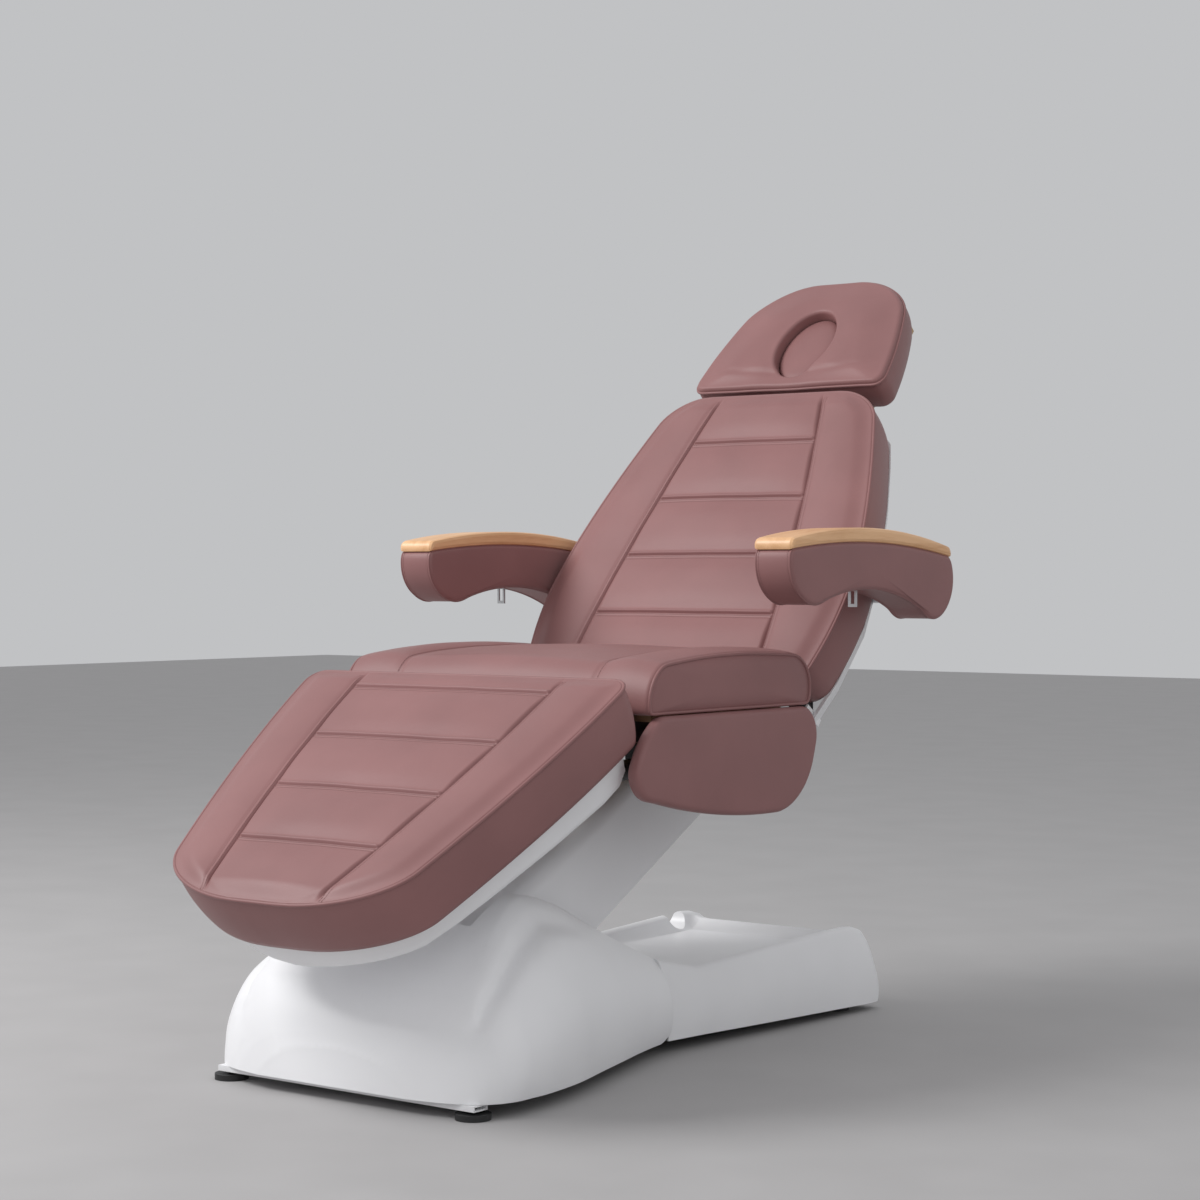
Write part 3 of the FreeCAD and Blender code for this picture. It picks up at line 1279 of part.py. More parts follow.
def make_seat():
    z_span = ("seat_rail_top - rail_height", "seat_rail_top")
    rails = []
    for _, side in SIDES:
        x_span = sided(side, "hinge_x - rail_width / 2", "hinge_x + rail_width / 2")
        y_span = ("-leg_hinge_ahead + hinge_half + 8", "back_hinge_behind - hinge_half - 8")
        bar = tube(x_span, y_span, z_span, "y")
        front = hinge_ears(side, ("-leg_hinge_ahead", "-leg_hinge_ahead + hinge_half + 12"),
                           ("-leg_hinge_ahead - hinge_half", "-leg_hinge_ahead + hinge_half"),
                           "leg_hinge_up - hinge_half", "-leg_hinge_ahead", "leg_hinge_up")
        rear = hinge_ears(side, ("back_hinge_behind - hinge_half - 24", "back_hinge_behind"),
                          ("back_hinge_behind - hinge_half", "back_hinge_behind + hinge_half"),
                          "seat_rail_top - rail_height", "back_hinge_behind", "back_hinge_up")
        rails.append(fuse(bar, *front, *rear))
    inside = "hinge_x - rail_width / 2"
    half = "rail_width / 2"
    tubes = [tube((f"-({inside})", inside), (f"{y} - {half}", f"{y} + {half}"), z_span, "x")
             for y in ("-front_cross_ahead", "-motor_cross_ahead", "rear_cross_behind")]
    piece(group(*rails, *tubes), "seat_frame_tubes", "seat")
    make_carrier(z_span[0])
    brackets = motor_brackets()
    pins = []
    for y, z in (("-leg_hinge_ahead", "leg_hinge_up"), ("back_hinge_behind", "back_hinge_up")):
        for _, side in SIDES:
            start = sided(side, "hinge_x - rail_width / 2 - 3", "hinge_x + rail_width / 2 + 3")[0]
            pins.append(rod("x", (start, y, z), "rail_width + 6", "hinge_pin_radius"))
    piece(group(*pins), "hinge_pins", "seat")
    board_top = "seat_rail_top + board_thickness"
    board_half = "hinge_x + rail_width / 2 + 20"
    board = box((f"-({board_half})", board_half),
                ("-leg_hinge_ahead + 3 * hinge_half", "seat_rear - 2 * hinge_half"),
                ("seat_rail_top", board_top))
    piece(group(board), "seat_board", "seat")
    piece(formed(seat_cushion()), "seat_cushion", "seat")
    brackets += make_skirts()
    piece(group(*brackets), "seat_brackets", "seat")


def carrier_outline(top):
    """A seat carrier plate from the side, narrower towards its rounded lower end."""
    return [
        ("-motor_cross_ahead - carrier_overhang", top, None),
        ("-carrier_foot", "-carrier_drop / 3", None),
        ("-carrier_foot / 3", "-carrier_drop", None),
        ("link_behind + carrier_foot / 2", "-carrier_drop", None),
        ("link_behind + carrier_foot", "-carrier_drop / 3", None),
        ("rear_cross_behind + carrier_overhang", top, None),
    ]


def make_carrier(top):
    plates = []
    pins = (("0", "0", "shaft_radius"), ("link_behind", "-link_below", "link_pin_radius"))
    for _, side in SIDES:
        plate = padded_outline(carrier_outline(top), "carrier_thickness")
        place(plate, (sided(side, "carrier_inner", "carrier_inner + carrier_thickness")[0], "0", "0"))
        holes = [cross_rod("2 * carrier_inner", y, z, f"{radius} + running_clearance")
                 for y, z, radius in pins]
        plates.append(cut(plate, *holes))
    piece(group(*plates), "seat_carrier", "seat")
    outside = "carrier_inner + carrier_thickness + 4"
    for name, (y, z, radius) in zip(("seat_shaft", "upper_link_pin"), pins):
        piece(group(cross_rod(outside, y, z, radius)), name, "seat")


def motor_brackets():
    """Brackets under the seat tubes for the feet of the leg and back actuators, with their pins."""
    brackets = []
    pins = []
    feet = (("leg", 1, "-leg_foot_ahead", "leg_foot_up", "-motor_cross_ahead"),
            ("back", -1, "-back_foot_ahead", "back_foot_up", "-motor_cross_ahead"))
    inner = "motor_half_width + side_clearance"
    for _, side, y, z, tube_y in feet:
        for place_at in (f"leg_motor_x - ({inner}) - lug_thickness", f"leg_motor_x + {inner}"):
            x_span = sided(side, place_at, f"{place_at} + lug_thickness")
            hanger = box(x_span, (f"{tube_y} - rail_width / 2", f"{tube_y} + rail_width / 2"),
                         (f"{z} - lug_half", "seat_rail_top - rail_height"))
            arm = box(x_span, (f"{y} - lug_half", f"{tube_y} + rail_width / 2"),
                      (f"{z} - lug_half", f"{z} + lug_half"))
            low = "leg_motor_x - 2 * motor_half_width"
            hole_start = sided(side, low, f"{low} + 4 * motor_half_width")[0]
            hole = rod("x", (hole_start, y, z), "4 * motor_half_width",
                       "clevis_pin_radius + running_clearance")
            brackets.append(cut(fuse(hanger, arm), hole))
        half = f"({inner} + lug_thickness + 3)"
        pin_start = sided(side, f"leg_motor_x - {half}", f"leg_motor_x + {half}")[0]
        pins.append(rod("x", (pin_start, y, z), f"2 * {half}", "clevis_pin_radius"))
    piece(group(*pins), "actuator_foot_pins", "seat")
    return brackets


def make_skirts():
    """Padded side skirts under the seat and the brackets that carry them."""
    low = "-skirt_drop"
    corners = [
        ("skirt_rear - 22", "skirt_top", None),
        ("-skirt_front + 66", "skirt_top", "10"),
        ("-skirt_front", "skirt_top - 82", "14"),
        ("-skirt_front + 49", f"{low} + 38", "11"),
        ("skirt_rear - 100", low, "22"),
        ("skirt_rear", "skirt_top - 72", "16"),
    ]
    brackets = []
    for name, side in SIDES:
        start = number(sided(side, "skirt_inner", "skirt_inner + skirt_thickness")[0])
        shape = rounded_slab(corners, number("skirt_thickness"), number("skirt_round"), start)
        piece(formed(shape), f"{name}_side_skirt", "seat")
        for y in ("-2 * front_cross_ahead / 3", "rear_cross_behind - 2 * skirt_bracket_width"):
            brackets.append(box(sided(side, "hinge_x + rail_width / 2", "skirt_inner"),
                                (y, f"{y} + skirt_bracket_width"),
                                ("seat_rail_top - 26", "seat_rail_top - 4")))
    return brackets


# Leg rest, backrest and headrest

def hinge_tongue(side, y_span, z_span):
    """A plate between hinge ears, bored for the pin at the origin of its section."""
    plate = box(sided(side, "hinge_x - tongue_width / 2", "hinge_x + tongue_width / 2"), y_span, z_span)
    return cut(plate, cross_rod("2 * hinge_x", "0", "0", "hinge_pin_radius + running_clearance"))


def lever(side, y_span, z_span, y, z):
    """A plate that takes an actuator's pin, inside the fork of its rod."""
    plate = box(sided(side, "leg_motor_x - motor_eye - side_clearance - lug_thickness",
                      "leg_motor_x - motor_eye - side_clearance"), y_span, z_span)
    return cut(plate, cross_rod("2 * leg_motor_x", y, z, "clevis_pin_radius + running_clearance"))


def lever_pin(side, y, z):
    """A pin that stands out of the lever through the rod's eye."""
    inner = "leg_motor_x - motor_eye - side_clearance - lug_thickness - 3"
    span = sided(side, inner, "leg_motor_x + motor_eye + 3")
    length = "2 * motor_eye + lug_thickness + side_clearance + 6"
    return group(rod("x", (span[0], y, z), length, "clevis_pin_radius"))


def spines(y_span, z_span):
    """Two inner tubes where a section is too narrow for its side rails."""
    half = "rail_width / 2"
    return [tube(sided(side, f"spine_x - {half}", f"spine_x + {half}"), y_span, z_span, "y")
            for _, side in SIDES]


def make_leg():
    z_span = ("leg_rail_top - leg_rail_height", "leg_rail_top")
    rails = []
    for _, side in SIDES:
        x_span = sided(side, "hinge_x - rail_width / 2", "hinge_x + rail_width / 2")
        bar = tube(x_span, ("-leg_rail_front", "-leg_torque_ahead"), z_span, "y")
        tongue = hinge_tongue(side, ("-leg_torque_ahead - 20", "hinge_half"), ("-hinge_half", "leg_rail_top"))
        rails.append(fuse(bar, tongue))
    inside = "hinge_x - rail_width / 2"
    tubes = [tube((f"-({inside})", inside), (f"-{y} - rail_width / 2", f"-{y} + rail_width / 2"), z_span, "x")
             for y in ("leg_cross_first", "(leg_rail_front - rail_width / 2)")]
    tubes += spines(("-leg_spine_front", "-leg_rail_front"), z_span)
    piece(group(*rails, *tubes), "leg_frame_tubes", "leg")
    shaft = cross_rod("hinge_x - rail_width / 2", "-leg_torque_ahead - 8", "0", "leg_torque_radius - 2")
    arm = lever(1, ("-leg_lug_ahead - lug_half", "-leg_lug_ahead + lug_half"),
                ("-leg_lug_below - lug_half", "0"), "-leg_lug_ahead", "-leg_lug_below")
    piece(fuse(shaft, arm), "leg_torque_tube", "leg")
    piece(lever_pin(1, "-leg_lug_ahead", "-leg_lug_below"), "leg_rod_pin", "leg")
    top = "leg_under - soft_clearance"
    half = "hinge_x - rail_width / 2 - 18"
    piece(group(box((f"-({half})", half), ("-leg_spine_front", "-tray_start - tray_wall - 3"),
                    ("leg_rail_top", top))), "leg_board", "leg")
    piece(formed(leg_cushion()), "leg_cushion", "leg")
    piece(formed(leg_tray()), "leg_tray", "leg")


def make_back():
    z_span = ("-hinge_half", "hinge_half")
    half = "rail_width / 2"
    rails = []
    brackets = []
    pins = []
    outer = "hinge_x + rail_width / 2"
    for _, side in SIDES:
        x_span = sided(side, f"hinge_x - {half}", outer)
        bar = tube(x_span, ("2 * hinge_half + 8", "back_rail_end"), z_span, "y")
        tongue = hinge_tongue(side, ("-hinge_half", "2 * hinge_half + 20"), z_span)
        rails.append(fuse(bar, tongue))
        plate = box(x_span, ("armrest_along - lug_half", "armrest_along + lug_half"),
                    ("armrest_out - hinge_half + 4", "-hinge_half"))
        brackets.append(plate)
        span = sided(side, outer, "armrest_inner + hub_length")
        length = f"armrest_inner + hub_length - ({outer})"
        pins.append(rod("x", (span[0], "armrest_along", "armrest_out"), length, "armrest_pin_radius"))
    piece(group(*pins), "armrest_pins", "back")
    inside = f"hinge_x - {half}"
    places = ("back_cross_first", f"(back_rail_end - {half})")
    tubes = [tube((f"-({inside})", inside), (f"{y} - {half}", f"{y} + {half}"), z_span, "x") for y in places]
    tubes += spines(("back_rail_end", "back_spine_end"), z_span)
    piece(group(*rails, *tubes), "back_frame_tubes", "back")
    arm = lever(-1, ("back_lug_along - lug_half", f"back_cross_first + {half}"),
                ("-back_lug_behind - lug_half", "-hinge_half"), "back_lug_along", "-back_lug_behind")
    brackets.append(arm)
    piece(lever_pin(-1, "back_lug_along", "-back_lug_behind"), "back_rod_pin", "back")
    for _, side in SIDES:
        x_span = sided(side, "head_ear_inner", "head_ear_inner + head_ear_thickness")
        bar = box(x_span, ("back_spine_end", "head_hinge_along"),
                  ("head_hinge_out - hinge_half", "head_hinge_out + hinge_half"))
        end = rod("x", (x_span[0], "head_hinge_along", "head_hinge_out"), "head_ear_thickness", "hinge_half")
        ear = fuse(bar, end)
        brackets.append(cut(ear, cross_rod("2 * head_ear_inner", "head_hinge_along", "head_hinge_out",
                                           "head_pin_radius + running_clearance")))
    piece(group(*brackets), "back_brackets", "back")
    piece(formed(back_cushion()), "back_cushion", "back")
    piece(formed(back_shell()), "back_shell", "back")


def make_head():
    inner = "head_ear_inner + head_ear_thickness + side_clearance"
    arms = []
    pins = []
    low = "head_under - soft_clearance - board_thickness"
    for _, side in SIDES:
        x_span = sided(side, inner, f"{inner} + head_arm_thickness")
        plate = box(x_span, ("-hinge_half", "head_arm_length"), ("-hinge_half - 6", low))
        boss = rod("x", (x_span[0], "0", "0"), "head_arm_thickness", "hinge_half - 2")
        hole = cross_rod("2 * head_ear_inner", "0", "0", "head_pin_radius + running_clearance")
        arms.append(cut(fuse(plate, boss), hole))
        span = sided(side, "head_ear_inner - 4", f"{inner} + head_arm_thickness + 4")
        pins.append(rod("x", (span[0], "0", "0"), f"{inner} + head_arm_thickness + 8 - head_ear_inner",
                        "head_pin_radius"))
    piece(group(*arms), "headrest_arms", "head")
    piece(group(*pins), "head_hinge_pins", "head")
    base = box(("-head_board_half", "head_board_half"), ("head_board_start", "head_board_end"),
               (low, "head_under - soft_clearance"))
    hole = formed(face_prism(number("face_half_width"), number("face_half_length"), -3 * BEYOND, 3 * BEYOND))
    piece(cut(base, hole), "headrest_board", "head")
    piece(formed(head_cushion()), "head_cushion", "head")
    room = number("plug_room")
    plug = face_prism(number("face_half_width") - room, number("face_half_length") - room,
                      number(low), number("head_under + head_edge - plug_recess"))
    piece(formed(plug), "face_plug", "head")


# Armrests

def armrest_outline():
    """The leather pad from the side: front, lobe, arch, rear lobe, rear and the arched top."""
    return [
        ("-armrest_front", "armrest_top_front", "14"),
        ("-armrest_front + 29", "4", "10"),
        ("-front_lobe_at", "-2", "-armrest_belly_rise"),
        ("-30", "-20", "13"),
        ("40", "-26", "20"),
        ("armrest_rear", "armrest_top_rear", "armrest_arch"),
    ]


def wood_outline():
    """The arched wooden top, resting on the pad and rounded at its ends."""
    top = "wood_thickness - 6"
    return [
        ("-armrest_front", "armrest_top_front", "-armrest_arch"),
        ("armrest_rear", "armrest_top_rear", "5"),
        ("armrest_rear - 10", f"armrest_top_rear + {top}", "armrest_arch + 5"),
        ("-armrest_front + 8", f"armrest_top_front + {top}", "5"),
    ]


TRUNNION = "tab_pocket_half + 4"


def make_armrests():
    hub_radius = "armrest_pin_radius + running_clearance + hub_wall"
    width = number("armrest_width")
    for name, side in SIDES:
        start = number(sided(side, "armrest_inner", "armrest_inner + armrest_width")[0])
        pad = formed(rounded_slab(armrest_outline(), width, number("pad_round"), start))
        hub_span = sided(side, "armrest_inner", "armrest_inner + hub_length")
        seat = rod("x", (hub_span[0], "0", "0"), "hub_length", f"{hub_radius} + hub_room")
        middle = f"{side} * (armrest_inner + armrest_width / 2)"
        pocket = box((f"{middle} - tab_pocket_half", f"{middle} + tab_pocket_half"),
                     ("-tab_ahead - tab_pocket_half", "-tab_ahead + tab_pocket_half"),
                     ("-hub_length", "tab_pivot + tab_pocket_depth"))
        socket = rod("x", (f"{middle} - ({TRUNNION}) - side_clearance", "-tab_ahead", "tab_pivot"),
                     f"2 * ({TRUNNION} + side_clearance)", "tab_pin_radius + running_clearance")
        piece(cut(pad, seat, pocket, socket), f"{name}_armrest_pad", "armrest")
        wood = rounded_slab(wood_outline(), width, number("wood_round"), start)
        piece(formed(wood), f"{name}_armrest_top", "armrest")
        hub = rod("x", (hub_span[0], "0", "0"), "hub_length", hub_radius)
        bore = cross_rod("2 * armrest_inner", "0", "0", "armrest_pin_radius + running_clearance")
        piece(cut(hub, bore), f"{name}_armrest_hub", "armrest")
        make_tab(name, middle)


def make_tab(name, middle):
    """A looped steel tab that hangs in the pocket on its own trunnions."""
    half = "tab_width / 2"
    y = "-tab_ahead"
    plate = box((f"{middle} - {half}", f"{middle} + {half}"),
                (f"{y} - tab_thickness / 2", f"{y} + tab_thickness / 2"),
                ("tab_pivot - tab_length", "tab_pivot"))
    slot = box((f"{middle} - {half} + 4", f"{middle} + {half} - 4"),
               (f"{y} - tab_thickness", f"{y} + tab_thickness"),
               ("tab_pivot - tab_length + 5", "tab_pivot - 8"))
    barrel = rod("x", (f"{middle} - {half}", y, "tab_pivot"), "tab_width", "tab_barrel")
    pin = rod("x", (f"{middle} - ({TRUNNION})", y, "tab_pivot"), f"2 * ({TRUNNION})", "tab_pin_radius")
    piece(fuse(cut(plate, slot), barrel, pin), f"{name}_release_tab", "armrest")


make_base()
make_arm()
make_actuator("lift", LIFT_FOOT, LIFT_LUG, "0")
make_seat()
make_leg()
make_actuator("leg", LEG_FOOT, LEG_LUG, "leg_motor_x")
make_back()
make_actuator("back", BACK_FOOT, BACK_LUG, "-leg_motor_x")
make_head()
make_armrests()
doc.recompute()

faults = [item.Label for item in doc.Objects if {"Invalid", "Error"} & set(item.State)]
faults += [item.Label for item in PIECES if item.Shape.isNull() or not item.Shape.isValid()]
if faults:
    raise RuntimeError("not built: " + ", ".join(faults))
os.makedirs("parts", exist_ok=True)
for item in PIECES:
    item.Shape.exportStep(f"parts/{item.Label}.step")
print(len(PIECES), "sub-parts written")
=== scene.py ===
import json
import math
from functools import cache

import bmesh
import bpy
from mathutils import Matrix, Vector, noise


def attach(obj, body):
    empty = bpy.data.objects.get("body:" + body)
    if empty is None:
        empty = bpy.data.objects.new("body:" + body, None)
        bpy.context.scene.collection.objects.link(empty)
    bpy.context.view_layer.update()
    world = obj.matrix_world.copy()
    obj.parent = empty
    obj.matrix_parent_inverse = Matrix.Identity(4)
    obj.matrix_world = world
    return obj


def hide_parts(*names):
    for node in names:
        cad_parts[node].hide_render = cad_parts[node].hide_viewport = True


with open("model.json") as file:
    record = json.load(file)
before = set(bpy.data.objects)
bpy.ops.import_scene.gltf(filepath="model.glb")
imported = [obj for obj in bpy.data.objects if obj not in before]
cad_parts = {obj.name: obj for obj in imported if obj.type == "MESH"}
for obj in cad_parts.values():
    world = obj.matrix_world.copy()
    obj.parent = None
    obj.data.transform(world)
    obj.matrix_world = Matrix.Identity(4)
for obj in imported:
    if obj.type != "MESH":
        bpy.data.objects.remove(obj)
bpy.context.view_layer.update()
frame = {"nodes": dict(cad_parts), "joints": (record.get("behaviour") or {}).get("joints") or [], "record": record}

bl_info = {
    "name": "Beauty Bed Dressing",
    "version": (1, 0, 0),
    "blender": (4, 5, 0),
    "location": "3D View > Sidebar > Beauty Bed",
    "description": "Sewn leather, piping, stitches and finishes for an electric beauty bed",
    "category": "Object",
}

MM = 0.001
RECORD = frame["record"]
JOINTS = {joint["name"]: joint for joint in frame["joints"]}
BODY_OF = {node: body for body, nodes in RECORD["behaviour"]["bodies"].items() for node in nodes}
SLOT_NODES = {}
for entry in RECORD["subparts"]:
    SLOT_NODES.setdefault(entry["material_slot"], []).append(entry["node"])
SIDES = (("left", 1), ("right", -1))
ACROSS = Vector((1, 0, 0))
# Power of the curve by which the leg rest and the backrest narrow
TAPER_POWER = 1.56


class Section:
    """A section of the bed: the hinge that it turns on and its angle above level.

    Places in it are in millimetres: across the bed, along the section and out of it.
    """

    def __init__(self, joint, degrees):
        _, self.y, self.z = JOINTS[joint]["pos_m"]
        self.cos = math.cos(math.radians(degrees))
        self.sin = math.sin(math.radians(degrees))

    def point(self, x, along, out):
        along *= MM
        out *= MM
        y = self.y + along * self.cos - out * self.sin
        return Vector((x * MM, y, self.z + along * self.sin + out * self.cos))

    def up(self):
        return Vector((0, -self.sin, self.cos))


SEAT = Section("seat_level", 0)
LEG = Section("leg_tilt", 33.8)
BACK = Section("back_recline", 54.5)
HEAD = Section("head_tilt", 47)
ARMREST = Section("left_armrest_lift", 0)


# Settings that a user would change

class BedSewing(bpy.types.PropertyGroup):
    piping_radius: bpy.props.FloatProperty(
        name="Piping radius", description="Radius of the corded piping", default=0.0028, unit="LENGTH")
    stitch_pitch: bpy.props.FloatProperty(
        name="Stitch pitch", description="Distance between stitches", default=0.0052, unit="LENGTH")
    stitch_length: bpy.props.FloatProperty(
        name="Stitch length", description="Length of one stitch", default=0.0038, unit="LENGTH")
    thread_radius: bpy.props.FloatProperty(
        name="Thread radius", description="Radius of the thread", default=0.00038, unit="LENGTH")
    channel_depth: bpy.props.FloatProperty(
        name="Channel depth", description="Depth of a sewn channel", default=0.0042, unit="LENGTH")
    grain_scale: bpy.props.FloatProperty(
        name="Grain scale", description="Leather grain cells in a metre", default=820.0, min=1.0)


class BedColours(bpy.types.PropertyGroup):
    leather: bpy.props.FloatVectorProperty(
        name="Leather", description="Dusty rose leather", default=(0.305, 0.148, 0.145), subtype="COLOR")
    thread: bpy.props.FloatVectorProperty(
        name="Thread", description="Sewing thread", default=(0.33, 0.165, 0.160), subtype="COLOR")
    wood: bpy.props.FloatVectorProperty(
        name="Wood", description="Armrest tops", default=(0.90, 0.54, 0.285), subtype="COLOR")
    wood_vein: bpy.props.FloatVectorProperty(
        name="Wood vein", description="Darker bands in the wood", default=(0.72, 0.385, 0.175),
        subtype="COLOR")
    plastic: bpy.props.FloatVectorProperty(
        name="Plastic", description="White covers", default=(0.92, 0.92, 0.935), subtype="COLOR")
    black: bpy.props.FloatVectorProperty(
        name="Black", description="Black frame and feet", default=(0.018, 0.018, 0.019), subtype="COLOR")
    steel: bpy.props.FloatVectorProperty(
        name="Steel", description="Pins, rods and tabs", default=(0.62, 0.62, 0.63), subtype="COLOR")
    floor: bpy.props.FloatVectorProperty(
        name="Floor", description="Pale floor and backdrop", default=(0.46, 0.45, 0.45), subtype="COLOR")


def sewing():
    return bpy.context.scene.bed_sewing


def colours():
    return bpy.context.scene.bed_colours


# Meshes

def leather_object(name, mesh, body):
    """A leather piece that rides on a body."""
    piece = bpy.data.objects.new(name, mesh)
    bpy.context.scene.collection.objects.link(piece)
    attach(piece, body)
    return piece


def finished(bm, name, body):
    """Turns faces outwards and makes a smooth leather piece."""
    bmesh.ops.recalc_face_normals(bm, faces=bm.faces)
    mesh = bpy.data.meshes.new(name)
    bm.to_mesh(mesh)
    bm.free()
    for face in mesh.polygons:
        face.use_smooth = True
    mesh.materials.append(leather_material())
    return leather_object(name, mesh, body)


def bridge(bm, rings):
    """Faces along a row of closed rings of as many vertices each."""
    for first, second in zip(rings, rings[1:]):
        count = len(first)
        for index in range(count):
            after = (index + 1) % count
            bm.faces.new((first[index], first[after], second[after], second[index]))


def fan(bm, ring, spot):
    """Faces from a closed ring to one point."""
    hub = bm.verts.new(spot)
    for index in range(len(ring)):
        bm.faces.new((ring[index], ring[(index + 1) % len(ring)], hub))


def quilt(bm, grid):
    """Faces between the rows of a grid."""
    for low, high in zip(grid, grid[1:]):
        for index in range(len(low) - 1):
            bm.faces.new((low[index], low[index + 1], high[index + 1], high[index]))


def rim_of(grid):
    """The border of a grid of rows, walked once round."""
    right = [row[-1] for row in grid[1:-1]]
    left = [row[0] for row in grid[1:-1]]
    return grid[0] + right + grid[-1][::-1] + left[::-1]


def domed_cap(bm, section, ring, border, middle, x, dome, steps, power):
    """Closes a ring with a panel that domes from x by a signed height."""
    rings = [ring]
    for step in range(1, steps):
        share = 1 - step / steps
        height = dome * (1 - share ** power)
        spots = [middle + (spot - middle) * share for spot in border]
        rings.append([bm.verts.new(section.point(x + height, *spot)) for spot in spots])
    bridge(bm, rings)
    fan(bm, rings[-1], section.point(x + dome, *middle))


def cord(name, path, radius, up, body, sides=8):
    """A round leather cord along a closed path of points."""
    bm = bmesh.new()
    count = len(path)
    turns = [2 * math.pi * step / sides for step in range(sides)]
    rings = []
    for index, spot in enumerate(path):
        run = (path[(index + 1) % count] - path[index - 1]).normalized()
        side = run.cross(up).normalized()
        lift = side.cross(run)
        rings.append([bm.verts.new(spot + (side * math.cos(t) + lift * math.sin(t)) * radius) for t in turns])
    bridge(bm, rings + rings[:1])
    finished(bm, name, body)


# Nodes

GEOMETRY = "NodeSocketGeometry"
FLOAT = "NodeSocketFloat"


def node_group(name, kind, inputs, outputs):
    """An empty node group with named sockets, and its input and output nodes."""
    group = bpy.data.node_groups.new(name, kind)
    for way, sockets in (("INPUT", inputs), ("OUTPUT", outputs)):
        for label, socket_type in sockets.items():
            group.interface.new_socket(label, in_out=way, socket_type=socket_type)
    return group, group.nodes.new("NodeGroupInput"), group.nodes.new("NodeGroupOutput")


def wire(tree, *joins):
    """Links nodes; each join is a node, its output, the next node and its input."""
    for source, output, target, entry in joins:
        tree.links.new(source.outputs[output], target.inputs[entry])


def preset(node, values):
    """Sets unlinked inputs of a node."""
    for entry, value in values.items():
        node.inputs[entry].default_value = value


# Stitches

STITCH_SIDES = 5


@cache
def stitch_group():
    """Node group that lays stitches along the edges of a mesh."""
    group, start, end = node_group(
        "Stitch Run", "GeometryNodeTree",
        {"Geometry": GEOMETRY, "Pitch": FLOAT, "Length": FLOAT, "Radius": FLOAT,
         "Material": "NodeSocketMaterial"},
        {"Geometry": GEOMETRY})
    add = group.nodes.new
    curve = add("GeometryNodeMeshToCurve")
    resample = add("GeometryNodeResampleCurve")
    resample.mode = "LENGTH"
    tangent = add("GeometryNodeInputTangent")
    align = add("FunctionNodeAlignRotationToVector")
    align.axis = "Z"
    stitch = add("GeometryNodeMeshCylinder")
    preset(stitch, {"Vertices": STITCH_SIDES})
    place = add("GeometryNodeInstanceOnPoints")
    real = add("GeometryNodeRealizeInstances")
    paint = add("GeometryNodeSetMaterial")
    wire(group,
         (start, "Geometry", curve, "Mesh"),
         (curve, "Curve", resample, "Curve"),
         (start, "Pitch", resample, "Length"),
         (start, "Length", stitch, "Depth"),
         (start, "Radius", stitch, "Radius"),
         (tangent, "Tangent", align, "Vector"),
         (resample, "Curve", place, "Points"),
         (stitch, "Mesh", place, "Instance"),
         (align, "Rotation", place, "Rotation"),
         (place, "Instances", real, "Geometry"),
         (real, "Geometry", paint, "Geometry"),
         (start, "Material", paint, "Material"),
         (paint, "Geometry", end, "Geometry"))
    return group


def stitches(name, paths, body):
    """One mesh of thread stitches along several paths, made by the node group."""
    bm = bmesh.new()
    for path in paths:
        spots = [bm.verts.new(spot) for spot in path]
        for first, second in zip(spots, spots[1:]):
            bm.edges.new((first, second))
    lines = bpy.data.meshes.new(name + "_lines")
    bm.to_mesh(lines)
    bm.free()
    carrier = bpy.data.objects.new(name + "_lines", lines)
    bpy.context.scene.collection.objects.link(carrier)
    modifier = carrier.modifiers.new("Stitches", "NODES")
    modifier.node_group = stitch_group()
    settings = sewing()
    values = {"Pitch": settings.stitch_pitch, "Length": settings.stitch_length,
              "Radius": settings.thread_radius, "Material": thread_material()}
    for socket in modifier.node_group.interface.items_tree:
        if socket.in_out == "INPUT" and socket.name in values:
            modifier[socket.identifier] = values[socket.name]
    bpy.context.view_layer.update()
    evaluated = carrier.evaluated_get(bpy.context.evaluated_depsgraph_get())
    mesh = bpy.data.meshes.new_from_object(evaluated)
    carrier.modifiers.remove(modifier)
    bpy.data.objects.remove(carrier)
    bpy.data.meshes.remove(lines)
    mesh.name = name
    leather_object(name, mesh, body)


# Materials

# The vector sockets of a Mix node, and those of a Math node, share their names and are found by place
MIX_FACTOR, MIX_FIRST, MIX_SECOND, MIX_RESULT = 0, 4, 5, 1
MATH_VALUE, MATH_FACTOR, MATH_ADDEND = 0, 1, 2
GLOSS_SPREAD = 0.05
BRONZE = (0.45, 0.28, 0.10)
PLYWOOD = (0.55, 0.38, 0.22)


def material(name):
    """A new material and its Principled shader."""
    made = bpy.data.materials.new(name)
    made.use_nodes = True
    return made, made.node_tree.nodes["Principled BSDF"]


def scaled(colour, factor):
    return tuple(min(channel * factor, 1.0) for channel in colour)


def shade_ramp(tree, low, high, start, end):
    """A ramp from one colour to another between two positions."""
    ramp = tree.nodes.new("ShaderNodeValToRGB")
    first, last = ramp.color_ramp.elements
    first.position = start
    last.position = end
    first.color = (*low, 1.0)
    last.color = (*high, 1.0)
    return ramp


def tone_ramp(tree, colour, dark, light, spread):
    """A ramp between a darker and a lighter tone of a colour."""
    return shade_ramp(tree, scaled(colour, dark), scaled(colour, light), 0.5 - spread, 0.5 + spread)


